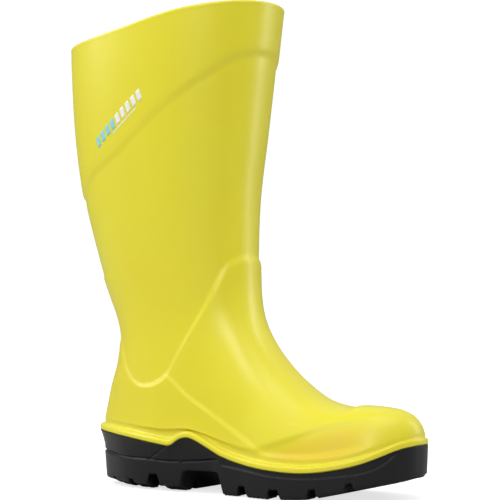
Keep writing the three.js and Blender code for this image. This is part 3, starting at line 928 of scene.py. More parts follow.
@dataclass
class Relief:
    """Raised panels of the moulding, in height above the plain form. They are drawn on the side
    view and are the same on both sides of the boot."""

    edge_width: float = 4.0
    panel: float = 0.8
    vamp_gain: float = 1.1
    quarter_gain: float = 1.4
    crease_depth: float = 1.3
    crease_slope: float = 2.3
    crease_reach: float = 22.0
    heel_ledge: float = 0.9
    toe_dip: float = 0.5
    toe_step: float = 0.7
    collar_lean: float = 0.84
    # Share of painted shade low on the heel and ankle.
    low_shade: float = 0.28
    leg_panel: Knots = (
        (60, 184), (30, 184), (12, 184), (-2, 182.5), (-10, 176), (-15, 165), (-23, 146), (-35, 124),
        (-46, 105), (-53, 92), (-60, 86), (-68, 82.5), (-76, 81.5), (-84, 83), (-91, 87.5), (-97, 94),
        (-101.5, 102), (-106, 110), (-112, 114.5), (-122, 116), (-220, 116), (-220, 420), (60, 420),
    )
    quarter: Knots = (
        (-53, 90), (-43, 81.5), (-33.5, 74), (-20, 66), (-10, 60.3), (0.5, 54), (17, 44.7), (30, 38),
        (43, 32.4), (58, 27), (70, 22), (70, -20), (-220, -20), (-220, 130), (-53, 130),
    )
    side_crease: Knots = (
        (20, 35), (30, 38), (42, 41.2), (56, 45.9), (67, 50.5), (78, 55), (92, 58.5), (112, 61),
        (170, 62), (170, -40), (20, -40),
    )
    collar: Knots = (
        (-172, 225), (-156, 229), (-144, 233.3), (-131, 243.6), (-122, 249.9), (-112, 254.9),
        (-102, 260.5), (-92, 266), (-57, 293), (-24, 316.8), (-17, 321.7), (-10, 327), (-2, 333.2),
        (4, 337.3), (10, 340.6), (14, 342.4),
    )
    collar_height: Knots = ((-140, 1.3), (-100, 0.9), (-60, 0.7), (-20, 1.2), (5, 1.5))

    def shade(self, p: Array) -> Array:
        """How much painted shade the yellow gets, 0 to 1: darker orange under the side crease, and a
        little low on the heel and ankle.

        Args:
            p: points, shaped (..., 3).

        Returns:
            The share at each point.
        """
        x, z = p[..., 0], p[..., 2]
        below = -SideLine(self.side_crease).signed(x, z)
        along = smooth(20, 60, x) * (1 - smooth(100, 134, x))
        low = self.low_shade * (1 - smooth(30, 250, z)) * (1 - smooth(-30, 30, x))
        return along * smooth(0, 12, below) + low

    def panels(self, x: Array, z: Array) -> Array:
        """Height of vamp and heel panels: outside the leg panel, each a step with an S edge.

        Args:
            x: distance along the foot, toe forward.
            z: height above the ground.

        Returns:
            The height at each point.
        """
        w = self.edge_width / 2
        beyond_leg = smooth(-w, w, SideLine(self.leg_panel).signed(x, z))
        in_quarter = smooth(-w, w, -SideLine(self.quarter).signed(x, z))
        vamp = (self.panel + self.vamp_gain * smooth(95, 165, z)) * (1 - 0.7 * smooth(45, 110, x))
        quarter = self.panel + self.quarter_gain * (1 - smooth(14, 52, x)) * smooth(-90, -60, x)
        return beyond_leg * (vamp * (1 - in_quarter) + quarter * in_quarter)

    def side_hollow(self, x: Array, z: Array) -> Array:
        """Depth under the side crease: a step, then a slope down to crease_reach below it.

        Args:
            x: distance along the foot, toe forward.
            z: height above the ground.

        Returns:
            The depth at each point.
        """
        below = -SideLine(self.side_crease).signed(x, z)
        along = smooth(24, 42, x) * (1 - smooth(96, 130, x))
        slope = np.clip(below / self.crease_reach, 0, 1)
        return along * (self.crease_depth * smooth(-0.4, 4.6, below) + self.crease_slope * slope)

    def ledges(self, x: Array, z: Array) -> Array:
        """Height of the ledge behind the ankle and of the step where the toe cap starts: a dip
        behind it and a rise that dies out forward.

        Args:
            x: distance along the foot, toe forward.
            z: height above the ground.

        Returns:
            The height at each point.
        """
        heel = (1 - smooth(167, 169.6, z)) * smooth(140, 165, z) * smooth(-106, -116, x)
        dip = smooth(70, 88, x) * (1 - smooth(93, 96, x)) * smooth(64, 68, z)
        rise = smooth(93.5, 96.5, x) * (1 - smooth(100, 118, x)) * smooth(62, 67, z)
        return self.heel_ledge * heel - self.toe_dip * dip + self.toe_step * rise

    def collar_band(self, x: Array, z: Array) -> Array:
        """Height of the raised band round the leg's top: a step above its lower edge, with a
        bell-shaped groove just under it."""
        above = self.collar_lean * (z - Curve(*zip(*self.collar))(x))
        groove = 0.3 * np.exp(-(((above + 1.6) / 1.7) ** 2))
        return Curve(*zip(*self.collar_height))(x) * (smooth(-0.7, 3.4, above) - groove)

    def height(self, p: Array) -> Array:
        """Height of all the panels above the form at points p: the sum of their own heights."""
        x, z = p[..., 0], p[..., 2]
        raised = self.panels(x, z) + self.ledges(x, z) + self.collar_band(x, z)
        return raised - self.side_hollow(x, z)


@dataclass
class UpperShell:
    """The yellow moulding: leg, foot and the lip that runs round the sole."""

    around: int = 360
    wall_rings: int = 200
    inner_step: int = 9
    wall: float = 3.6
    rim_round: float = 1.8
    rim_steps: int = 9
    lip_foot: float = 5.0
    rear_tuck: float = 2.7
    flare: float = 0.24
    flare_ease: float = 0.02
    flare_span: Pair = (-128.0, -98.0)
    flare_reach: Pair = (3.5, 2.0)
    sole_tuck: float = 4.3
    sole_gap: float = 0.3
    floor_rows: Knots = ((0.0, 10.0), (3.5, 4.0))
    pip_rows: int = 9
    pip_span: Pair = (-0.35, 0.97)
    # Painted shade: its weight over the wall, and its share ring by ring in the wall-lip corner.
    shade_weight: float = 0.8
    corner_shade: Sequence[float] = (0.02, 0.04, 0.05, 0.04, 0.02)
    pip_spot: Triple = (141.0, 4.2, 45.8)
    pip_size: Triple = (1.1, 1.7, 0.9)
    pip_sides: int = 24
    lip: Knots = (
        (0.9, 0.35), (0.35, 0.4), (0.06, 0.9), (0.0, 1.8), (0.0, 2.8), (0.15, 3.6), (0.55, 4.3),
        (1.2, 4.8), (2.1, 5.1), (2.9, 5.4), (3.5, 5.85), (3.85, 6.6), (4.05, 7.6),
    )

    def lip_rings(self, form: BootForm, top: Array, outline: SoleOutline) -> list[Array]:
        """The lip: a small profile carried along the sole outline, from the colour edge up.

        Its inset is scaled by how far the lip stands out there, and its upper part is shifted
        to meet the wall's lowest ring.

        Args:
            form: the boot's form.
            top: heights of the wall's lowest ring.
            outline: the sole's outline.

        Returns:
            The lip's rings, lowest first.
        """
        edge = form.curves["edge"]
        rows = []
        for inset, rise in self.lip:
            ring = outline.sole(inset * outline.rand / outline.rand_side, lambda x: edge(x) + rise)
            share = smooth(self.lip_foot, form.rand_rise, rise)
            ring[:, 2] += share * (top - form.rand_rise - edge(ring[:, 0]))
            rows.append(ring)
        return rows

    def outer_wall(self, relief: Relief, fine: Array, normal: Array, outline: SoleOutline) -> Array:
        """The outer wall: the net lifted by the panels, flared out to the lip as e^(-climb), and
        stopped below the rim by the height of its roll.

        Args:
            relief: the upper's raised panels.
            fine: points of the wall's rings.
            normal: the way out at each of them.
            outline: the sole's outline.

        Returns:
            The wall's points, shaped (rings, around, 3).
        """
        fade = smooth(0, 3, np.arange(self.wall_rings))[:, None]
        side = smooth(*self.flare_span, fine[0, :, 0])
        climb = fine[..., 2] - fine[0, :, 2]
        reach = self.flare_reach[0] + self.flare_reach[1] * side
        flare = (self.flare - self.flare_ease * side) * outline.rand * np.exp(-climb / reach)
        wall = fine + normal * (relief.height(fine) * fade + flare)[..., None]
        wall[0, :, 2] = fine[0, :, 2]
        wall[-1, :, 2] = fine[-1, :, 2] - self.rim_round
        return wall

    def rolled_rim(self, last: Array, out: Array) -> list[Array]:
        """Half a turn from the outer wall to the inner one: inward wall/2 (1 - cos), up
        rim_round sin.

        Args:
            last: the outer wall's top ring.
            out: the level way out of the leg at each of its points.

        Returns:
            The roll's rings, from the outer side to the inner one.
        """
        rows = []
        for turn in np.linspace(0.12, 1, self.rim_steps) * math.pi:
            inward = self.wall / 2 * (1 - math.cos(turn))
            rise = self.rim_round * math.sin(turn)
            rows.append(last - out * inward + np.array((0, 0, rise)))
        return rows

    def build(self, net: Net, relief: Relief, place: Placement, finish: Material) -> Piece:
        """Makes the closed skin: sole side, lip, wall with its panels, rolled rim, inner wall.

        Args:
            net: the boot's net.
            relief: the upper's raised panels.
            place: where the boot goes in the frame.
            finish: the piece's material.

        Returns:
            The upper's moulding.
        """
        form, skin = net.form, Skin()
        fine = net.fine(self.around, self.wall_rings)
        normal = unit(form.gradient(fine))
        outline = SoleOutline(fine[0])
        bed = form.curves["bed"]
        rear = self.rear_tuck * (1 - smooth(-20, 0, fine[0, :, 0]))
        under = outline.sole(self.sole_tuck + rear, lambda x: bed(x) + self.sole_gap)
        rows = [under, *self.lip_rings(form, fine[0, :, 2], outline)]
        wall = self.outer_wall(relief, fine, normal, outline)
        roll = self.rolled_rim(wall[-1], unit(normal[-1] * (1, 1, 0)))
        inner = (fine - normal * self.wall)[:: -self.inner_step][1:]
        floor = [
            outline.at(-self.wall - inward, lambda x: bed(x) + rise)
            for inward, rise in self.floor_rows
        ]
        rings = np.stack([*rows, *wall, *roll, *inner, *floor])
        marks = self.corner_shade_marks(rings)
        first = len(rows)
        # Painted shade on the wall: under the side crease and low on the heel and ankle.
        marks[first : first + self.wall_rings] += self.shade_weight * relief.shade(fine)
        numbers = skin.add(rings, marks)
        skin.band(numbers)
        skin.bridge(numbers[0])
        skin.bridge(numbers[-1])
        return skin.piece("upper_moulding", place, finish)

    def pip(self, net: Net, place: Placement, finish: Material) -> Piece:
        """The small moulding pip low on the toe: half an ellipsoid standing on the surface, in
        rings at heights h with radius sqrt(1 - h^2).

        Args:
            net: the boot's net.
            place: where the boot goes in the frame.
            finish: the piece's material.

        Returns:
            The pip.
        """
        spot = net.form.settle(np.array([self.pip_spot]), 6)[0]
        out = unit(net.form.gradient(spot[None]))[0]
        side = unit(np.cross((0.0, 0.0, 1.0), out)[None])[0]
        up = np.cross(out, side)
        turn = np.linspace(0, 2 * math.pi, self.pip_sides, endpoint=False)
        wide, tall, proud = self.pip_size
        disc = np.cos(turn)[:, None] * side * wide + np.sin(turn)[:, None] * up * tall
        rows = []
        for rise in np.linspace(*self.pip_span, self.pip_rows):
            rows.append(spot + disc * math.sqrt(1 - rise * rise) + out * rise * proud)
        skin = Skin()
        numbers = skin.add(np.stack(rows))
        skin.band(numbers)
        skin.bridge(numbers[0])
        skin.bridge(numbers[-1])
        return skin.piece("toe_pip", place, finish)

    def corner_shade_marks(self, rings: Array) -> Array:
        """Painted shade, 0 to 1: darker in the corner between the wall and the lip.

        Args:
            rings: the skin's points, shaped (rings, around, 3).

        Returns:
            A share for each point.
        """
        marks = np.zeros(rings.shape[:2])
        low = len(self.lip)
        marks[low - 2 : low + 3] = np.array(self.corner_shade)[:, None]
        return marks


# ---------------------------------------------------------------- outsole


@dataclass(frozen=True)
class Gap:
    """A channel across the tread.

    x: where it meets the sole's edge. half: half its width at the face. draft: run of its walls.
    deep: its depth. lean: how far it runs back towards the middle.
    """

    x: float
    half: float
    draft: float
    deep: float
    lean: float


@dataclass
class Outsole:
    """The black sole: a moulded side wall over a tread of cleats. The underside is one height
    map, z(x, y): cleat face, channels with drafted walls, and the arch recess."""

    around: int = 720
    wall_rows: int = 52
    across: int = 84
    gaps: Sequence[Gap] = (
        Gap(18.7, 4.6, 1.4, 8.0, 7.0), Gap(48.5, 5.6, 1.5, 7.6, 7.0), Gap(81.0, 4.1, 1.4, 7.0, 7.0),
        Gap(108.8, 3.6, 1.3, 6.2, 7.0), Gap(-65.3, 8.4, 4.6, 12.5, 2.0), Gap(-90.0, 4.2, 1.6, 7.2, 3.0),
        Gap(-112.0, 3.8, 1.5, 6.5, 5.0),
    )
    slits: Sequence[Gap] = (
        Gap(33.5, 1.3, 0.8, 2.6, 7.0), Gap(64.5, 1.3, 0.8, 2.6, 7.0), Gap(95.0, 1.3, 0.8, 2.4, 7.0),
        Gap(120.0, 1.2, 0.8, 2.0, 7.0), Gap(8.0, 1.2, 0.8, 2.4, 7.0), Gap(-78.5, 1.2, 0.8, 2.4, 3.0),
        Gap(-101.0, 1.2, 0.8, 2.4, 4.0), Gap(-52.0, 1.1, 0.8, 2.0, 0.0),
    )
    ring_channel: tuple[float, float] = (18.6, 25.4)
    channel_depth: float = 7.4
    bevel: float = 1.2
    heel_bevel: float = 3.4
    heel_draw: float = 3.9
    heel_taper: float = 2.0
    groove_depth: float = 1.4
    slant_depth: float = 1.3
    foot_round: float = 1.5
    toe_spring: Knots = ((50, 0), (75, 1.6), (90, 4.4), (110, 9), (127, 13.7), (146, 18))
    groove_line: Knots = (
        (-142, 27.5), (-118, 26.5), (-106, 25.4), (-92, 24.7), (-68, 24.6), (-55, 23.9), (-35, 24.2),
        (-15, 26.1), (-2, 27.6),
    )
    ledge_line: Knots = (
        (-4, 24.5), (1, 22.9), (14, 21.4), (26, 20), (46, 17.6), (66, 17), (83, 17.6), (98, 19.3),
        (113, 21.4), (123, 24.8), (129, 28.8), (133, 32.7), (138, 38.6),
    )
    arch_line: Knots = (
        (-42.5, 0), (-38.6, 9), (-37.2, 15.6), (-34, 17), (-12, 17.4), (-5, 17.2), (-3.2, 15.8),
        (-1.6, 10), (1.4, 0),
    )

    bevel_reach: Pair = (2.6, 10.0)
    channel_slope: float = 1.5
    channel_ends: Knots = ((-120, 0), (-110, 1), (118, 1), (128, 0))
    slit_span: Pair = (4.0, 6.5)
    groove_half: float = 0.7
    groove_step: float = 0.35
    taper_height: float = 25.0
    slant_spot: Pair = (-51.0, 35.0)
    slant_way: Pair = (0.506, 0.863)
    slant_half: float = 0.75
    slant_step: float = 0.5
    bead: float = 0.3
    bead_half: float = 0.8
    front_draw: float = 0.045
    foot_height: float = 2.2
    tread_foot: Curve = field(init=False)
    groove: Curve = field(init=False)
    ledge: Curve = field(init=False)

    def __post_init__(self) -> None:
        """Makes the curves from their knots."""
        self.tread_foot = Curve(*zip(*self.toe_spring))
        self.groove = Curve(*zip(*self.groove_line))
        self.ledge = Curve(*zip(*self.ledge_line))

    def arch(self, x: Array) -> Array:
        """Height of the recess between heel and forefoot, 0 outside it."""
        return np.interp(x, *zip(*self.arch_line))

    def trench(self, gap: Gap, x: Array, y: Array) -> Array:
        """Depth of one gap at x, y: a trapezoid across a line that runs forward from the middle of
        the sole to both its edges."""
        away = np.abs(x - gap.x + gap.lean * (1 - np.abs(y) / 48))
        return gap.deep * np.clip((gap.half - away) / gap.draft, 0, 1)

    def under(self, x: Array, y: Array, inset: Array) -> Array:
        """Height of the underside at x, y and its distance in from the sole's edge.

        It is the cleat face, lifted to 4.6 round the heel's edge and 1.2 elsewhere in a bevel, and
        raised in every gap, in the ring channel, in the slits and in the arch.

        Args:
            x: distance along the foot, toe forward.
            y: distance across the sole.
            inset: distance in from the sole's edge.

        Returns:
            The height at each point.
        """
        rear = 1 - smooth(-30, -5, x)
        reach = self.bevel_reach[0] + self.bevel_reach[1] * rear
        bevel = (self.bevel + self.heel_bevel * rear) * (1 - smooth(0, reach, inset))
        low, high = self.ring_channel
        slope = self.channel_slope
        ring = np.clip((inset - low) / slope, 0, 1) * np.clip((high - inset) / slope, 0, 1)
        deep = self.channel_depth * ring * np.interp(x, *zip(*self.channel_ends))
        for gap in self.gaps:
            deep = np.maximum(deep, self.trench(gap, x, y))
        for slit in self.slits:
            deep = np.maximum(deep, self.trench(slit, x, y) * smooth(*self.slit_span, inset))
        return np.maximum(self.tread_foot(x) + np.maximum(bevel, deep), self.arch(x))

    def heel_inset(self, x: Array, z: Array, edge: Array) -> Array:
        """How far the heel's side wall stands inside the sole's outline at height z.

        It draws in from the lip to the groove as heel_draw sin(pi t / 2), steps out a little under
        the groove and tapers to the ground. The groove and the slanting groove that climbs to the
        dip in the edge are bell curves across their lines.

        Args:
            x: distance along the foot, toe forward.
            z: height above the ground.
            edge: height of the colour edge there.

        Returns:
            The inset at each point.
        """
        groove = self.groove(x)
        back = 0.72 + 0.28 * (1 - smooth(-125, -95, x))
        t = np.clip((edge - z) / np.maximum(edge - groove, 1), 0, 1)
        draw = self.heel_draw * np.sin(np.pi / 2 * t)
        draw = draw - self.groove_step * smooth(-0.1, 1.1, groove - z)
        taper = self.heel_taper * np.clip((groove - z) / self.taper_height, 0, 1)
        line = self.groove_depth * np.exp(-(((z - groove) / self.groove_half) ** 2))
        ahead, above = x - self.slant_spot[0], z - self.slant_spot[1]
        slant = ahead * self.slant_way[0] - above * self.slant_way[1]
        between = smooth(groove - 1, groove + 1, z) * smooth(-70, -67, x) * (1 - smooth(-50, -47, x))
        climb = self.slant_depth * np.exp(-((slant / self.slant_half) ** 2))
        climb = climb - self.slant_step * smooth(-1, 1, slant)
        return (draw + taper) * back + line + climb * between

    def forefoot_inset(self, x: Array, z: Array) -> Array:
        """How far the forefoot's side wall stands inside the outline at height z: 1.0 between lip
        and ledge, then flush with a small bead, drawing in slowly to the ground.

        Args:
            x: distance along the foot, toe forward.
            z: height above the ground.

        Returns:
            The inset at each point.
        """
        ledge = self.ledge(x)
        front = smooth(-3, 4, x) * (1 - smooth(131, 138, x))
        strip = smooth(ledge - 0.4, ledge + 0.4, z)
        bead = self.bead * np.exp(-(((z - ledge + 1.0) / self.bead_half) ** 2))
        return front * (strip - bead) + self.front_draw * np.maximum(ledge - z, 0)

    def side_inset(self, x: Array, z: Array, edge: Array, foot: Array) -> Array:
        """How far the side wall stands inside the sole's outline: heel and forefoot shapes blended
        at the arch, with the foot of the wall rounded as a quarter circle.

        Args:
            x: distance along the foot, toe forward.
            z: height above the ground.
            edge: height of the colour edge there.
            foot: height of the side wall's foot there.

        Returns:
            The inset at each point.
        """
        rear = 1 - smooth(-12, 0, x)
        turn = 1 - np.clip((z - foot) / self.foot_height, 0, 1)
        rounded = self.foot_round * (1 - np.sqrt(1 - turn**2 + 1e-9))
        return rear * self.heel_inset(x, z, edge) + (1 - rear) * self.forefoot_inset(x, z) + rounded

    def build(self, net: Net, place: Placement, finish: Material) -> Piece:
        """Makes the closed skin: side wall, underside on rungs across the sole, and the cup that
        the upper sits in.

        Args:
            net: the boot's net.
            place: where the boot goes in the frame.
            finish: the piece's material.

        Returns:
            The outsole.
        """
        form, skin = net.form, Skin()
        ring = net.fine(self.around, net.rings)[0]
        outline = SoleOutline(ring)
        edge_curve, bed = form.curves["edge"], form.curves["bed"]
        base = outline.sole(0.0, edge_curve)
        x, y, edge = base[:, 0], base[:, 1], base[:, 2]
        foot = self.under(x, y, np.zeros(self.around))
        rows = []
        for t in np.linspace(0, 1, self.wall_rows):
            z = edge - 0.1 + (foot - edge + 0.1) * t
            flat = outline.sole(self.side_inset(x, z, edge, foot), 0.0)
            flat[:, 2] = z
            rows.append(flat)
        rear = 1 - smooth(-20, 0, x)
        cup = [
            outline.sole(4.0 + 2.7 * rear, bed),
            outline.sole(1.0 + 0.6 * rear, lambda v: edge_curve(v) - 1.0),
            outline.sole(0.12, edge_curve),
        ]
        rings = np.stack([*cup, *rows])
        marks = np.zeros(rings.shape[:2])
        side_x, side_z = rings[len(cup) :, :, 0], rings[len(cup) :, :, 2]
        # Painted shade: a dark line along the heel's side groove.
        marks[len(cup) :] = np.exp(-((side_z - self.groove(side_x)) ** 2)) * (side_x < -3)
        numbers = skin.add(rings, marks)
        skin.band(numbers)
        skin.bridge(numbers[0])
        half = self.around // 2
        left, right = rings[-1][1:half], rings[-1][:half:-1]
        w = np.linspace(0, 1, self.across)[1:-1]
        w = (w - 0.12 * np.sin(2 * np.pi * w) / (2 * np.pi))[None, :, None]
        plan = left[:, None] * (1 - w) + right[:, None] * w
        inset = self.edge_distance(plan[..., :2], rings[-1][:, :2])
        plan[..., 2] = self.under(plan[..., 0], plan[..., 1], inset)
        sunk = smooth(1.0, 5.0, plan[..., 2] - self.tread_foot(plan[..., 0]))
        # Painted shade: the tread's sunk parts are darker.
        skin.bridge(numbers[-1], skin.add(plan, 0.6 * sunk))
        return skin.piece("outsole_moulding", place, finish)

    def edge_distance(self, p: Array, ring: Array) -> Array:
        """Distance in plan from each point to the nearest of the ring's points.

        Args:
            p: points (x, y), shaped (rungs, points, 2).
            ring: points (x, y) of the sole's edge.

        Returns:
            The distances, shaped (rungs, points).
        """
        spots = ring[::4]
        best = np.full(p.shape[:2], 1e9)
        for part in np.array_split(spots, 12):
            gap = np.linalg.norm(p[:, :, None] - part[None, None], axis=-1).min(-1)
            best = np.minimum(best, gap)
        return best


# ---------------------------------------------------------------- inside pieces


def put_map(piece: Piece, u: Array, v: Array) -> None:
    """Gives a piece the map CLOTH_MAP from one (u, v) in millimetres for each point.

    Args:
        piece: the piece.
        u: first coordinate of each point.
        v: second coordinate of each point.
    """
    mesh = piece.data
    corner = np.zeros(len(mesh.loops), int)
    mesh.loops.foreach_get("vertex_index", corner)
    layer = mesh.uv_layers.new(name=CLOTH_MAP)
    layer.data.foreach_set("uv", np.stack([u[corner], v[corner]], 1).astype(np.float32).reshape(-1))


@dataclass
class Lining:
    """The grey knitted sock that lines leg and foot."""

    around: int = 240
    rings: int = 130
    outside: float = 3.9
    thick: float = 1.2
    toe_extra: float = 2.1
    top_drop: float = 2.2
    top_round: float = 0.5
    girth: float = 420.0
    turn_in: Knots = ((3.3, 4.4), (1.2, 7.0), (0.0, 10.0))

    def build(self, net: Net, place: Placement, finish: Material) -> Piece:
        """Makes the tube: outer face up, rounded top, inner face down, closed at the bottom.

        Args:
            net: the boot's net.
            place: where the boot goes in the frame.
            finish: the piece's material.

        Returns:
            The lining.
        """
        form, skin = net.form, Skin()
        fine = net.fine(self.around, self.rings)
        normal = unit(form.gradient(fine))
        extra = self.toe_extra * smooth(50, 66, fine[..., 0]) * (fine[..., 2] < 110)
        outline = SoleOutline(fine[0])
        level = form.curves["bed"]
        faces = []
        for more in (0.0, self.thick):
            depth = self.outside + more + extra
            wall = fine - normal * depth[..., None]
            wall[-1, :, 2] = fine[-1, :, 2]
            down = wall[-2] - wall[-1]
            wall[-1] += down * (self.top_drop / -down[:, 2])[:, None]
            foot = [
                outline.at(-(depth[0] + inward), lambda x: level(x) + rise)
                for inward, rise in self.turn_in
            ]
            faces.append(np.stack([*foot, *wall]))
        lip = (faces[0][-1] + faces[1][-1]) / 2 + np.array((0, 0, self.top_round))
        rings = np.concatenate([faces[0], lip[None], faces[1][::-1]])
        numbers = skin.add(rings)
        skin.band(np.concatenate([numbers, numbers[:1]]))
        made = skin.piece("lining_sock", place, finish)
        turn = np.broadcast_to(np.arange(self.around) / self.around * self.girth, numbers.shape)
        steps = np.linalg.norm(np.diff(rings.mean(1), axis=0), axis=1)
        climb = np.concatenate([[0], np.cumsum(steps)])
        put_map(made, turn.reshape(-1), np.repeat(climb, self.around))
        return made


@dataclass
class Footbed:
    """The loose footbed: a shaped foam body with a cloth face."""

    around: int = 240
    across: int = 44
    inset: float = 9.7
    toe_extra: float = 2.1
    heel_cup: float = 5.0
    arch_rise: float = 6.0
    cup_fade: Pair = (-45.0, 25.0)
    arch_spot: float = -25.0
    arch_half: float = 38.0
    seat: float = 7.4
    foam_thick: Knots = ((-60, 5.0), (30, 3.0))
    cloth_gap: float = 0.1
    cloth_thick: float = 0.9
    cloth_inset: float = 0.2
    edge_rows: Knots = ((0.0, 0.5), (0.3, 0.0), (0.75, 0.0), (0.95, 0.35), (1.0, 1.0))

    def crown(self, x: Array, b: Array) -> Array:
        """How far the face rises above flat, by length x and by b, -1 at the outer edge and 1 at
        the inner one: a cup round the heel, b^4, and a swell under the arch."""
        rear = 1 - smooth(*self.cup_fade, x)
        arch = np.exp(-(((x - self.arch_spot) / self.arch_half) ** 2)) * smooth(0.1, 1.0, b)
        return self.heel_cup * rear * b**4 + self.arch_rise * arch

    def layer(self, net: Net, low: HeightMap, high: HeightMap, shrink: float) -> Skin:
        """A closed slab between two height maps.

        Args:
            net: the boot's net.
            low: height of its underside by x and b.
            high: height of its face by x and b.
            shrink: how far its edge stands inside the footbed's edge.

        Returns:
            The skin.
        """
        skin = Skin()
        ring = net.fine(self.around, net.rings)[0]
        outline = SoleOutline(ring)
        extra = self.toe_extra * smooth(50, 66, ring[:, 0])
        half = self.around // 2
        edge_b = np.where(np.arange(self.around) <= half, -1.0, 1.0)
        edge_b[[0, half]] = 0.0
        rows = []
        for share, tuck in self.edge_rows:
            flat = outline.at(-(self.inset + extra + shrink + tuck), 0.0)
            a, c = low(flat[:, 0], edge_b), high(flat[:, 0], edge_b)
            flat[:, 2] = a + (c - a) * share
            rows.append(flat)
        numbers = skin.add(np.stack(rows))
        skin.band(numbers)
        w = np.linspace(0, 1, self.across)[1:-1][None, :, None]
        for row, face in ((0, low), (-1, high)):
            left, right = rows[row][1:half], rows[row][:half:-1]
            plan = left[:, None] * (1 - w) + right[:, None] * w
            plan[..., 2] = face(plan[..., 0], np.broadcast_to(2 * w[..., 0] - 1, plan.shape[:2]))
            skin.bridge(numbers[row], skin.add(plan))
        return skin

    def build(self, net: Net, place: Placement, foam: Material, cloth: Material) -> list[Piece]:
        """Makes the foam body and its cloth face.

        Args:
            net: the boot's net.
            place: where the boot goes in the frame.
            foam: the body's material.
            cloth: the face's material.

        Returns:
            The foam body and the face.
        """
        bed, thick = net.form.curves["bed"], Curve(*zip(*self.foam_thick))

        def raised(more: float) -> HeightMap:
            """The face's height map, lifted by more."""
            return lambda x, b: bed(x) + self.seat + thick(x) + self.crown(x, b) + more

        body = self.layer(net, lambda x, b: bed(x) + self.seat, raised(0.0), 0.0)
        gap = self.cloth_gap
        top = self.layer(net, raised(gap), raised(gap + self.cloth_thick), self.cloth_inset)
        pieces = [
            body.piece("footbed_body", place, foam),
            top.piece("footbed_face", place, cloth),
        ]
        points = np.concatenate(top.points)
        put_map(pieces[1], points[:, 0], points[:, 1])
        return pieces


# ---------------------------------------------------------------- printed mark


@dataclass
class BarMark:
    """A plain mark of slanted bars with a thin line under it, printed on the leg's outer side."""

    start: Pair = (-115.0, 274.0)
    end: Pair = (-66.0, 312.0)
    height: float = 7.6
    lean: float = 0.35
    cover: float = 0.68
    blue_bars: int = 4
    white_bars: int = 5
    line_span: Pair = (0.28, 0.8)
    line_below: Pair = (2.4, 1.7)
    proud: float = 0.12
    sunk: float = 0.25

    def patch(
        self, net: Net, relief: Relief, skin: Skin, low: Pair, high: Pair, lean: float
    ) -> None:
        """One thin raised patch that follows the leg.

        Args:
            net: the boot's net.
            relief: its raised panels.
            skin: takes the patch.
            low: start along the mark, and lower edge across it.
            high: end along the mark, and upper edge across it.
            lean: slant of the ends.
        """
        a, b = np.asarray(self.start), np.asarray(self.end)
        way = (b - a) / np.linalg.norm(b - a)
        across = np.array((-way[1], way[0]))
        s, h = np.meshgrid(np.linspace(low[0], high[0], 5), np.linspace(low[1], high[1], 7))
        s = s + lean * h
        xz = a + s[..., None] * way + h[..., None] * across
        p = np.stack([xz[..., 0], np.full(s.shape, -52.0), xz[..., 1]], -1)
        for _ in range(8):
            gap = net.form.field(p)
            p[..., 1] += gap * 0.9
        normal = unit(net.form.gradient(p))
        lift = relief.height(p)
        face = p + normal * (lift + self.proud)[..., None]
        back = p + normal * (lift - self.sunk)[..., None]
        rims = []
        for grid in (skin.add(back), skin.add(face)):
            skin.band(grid, closed=False)
            rims.append(np.concatenate([grid[0, :-1], grid[:-1, -1], grid[-1, :0:-1], grid[:0:-1, 0]]))
        skin.band(np.stack(rims))

    def build(
        self, net: Net, relief: Relief, place: Placement, blue: Material, white: Material
    ) -> list[Piece]:
        """Makes the blue bars, the white bars and the line.

        Args:
            net: the boot's net.
            relief: the upper's raised panels.
            place: where the boot goes in the frame.
            blue: the blue bars' material.
            white: material of the white bars and the line.

        Returns:
            The blue piece and the white piece.
        """
        length = float(np.linalg.norm(np.subtract(self.end, self.start)))
        count, half = self.blue_bars + self.white_bars, self.height / 2
        pitch = length / count
        blues, whites = Skin(), Skin()
        for i in range(count):
            skin = blues if i < self.blue_bars else whites
            ends = (i * pitch, (i + self.cover) * pitch)
            self.patch(net, relief, skin, (ends[0], -half), (ends[1], half), self.lean)
        low = (length * self.line_span[0], -half - self.line_below[0])
        high = (length * self.line_span[1], -half - self.line_below[1])
        self.patch(net, relief, whites, low, high, 0.0)
        return [
            blues.piece("printed_bars_blue", place, blue),
            whites.piece("printed_bars_white", place, white),
        ]


# ---------------------------------------------------------------- studio


@dataclass(frozen=True)
class Lamp:
    """One rectangular soft light: where it stands, its width and height in metres, its watts, the
    point it looks at and its tint."""

    name: str
    spot: Triple
    size: Pair
    power: float
    aim: Triple
    tint: Triple

    def build(self) -> None:
        """Hangs the light."""
        data = bpy.data.lights.new(self.name, "AREA")
        data.shape, data.energy, data.color = "RECTANGLE", self.power, self.tint
        data.size, data.size_y = self.size
        made = bpy.data.objects.new(self.name, data)
        made.location = self.spot
        made.rotation_euler = (Vector(self.aim) - made.location).to_track_quat("-Z", "Y").to_euler()
        bpy.context.scene.collection.objects.link(made)


WARM = (1.0, 0.98, 0.93)
COOL = (0.95, 1.0, 0.94)


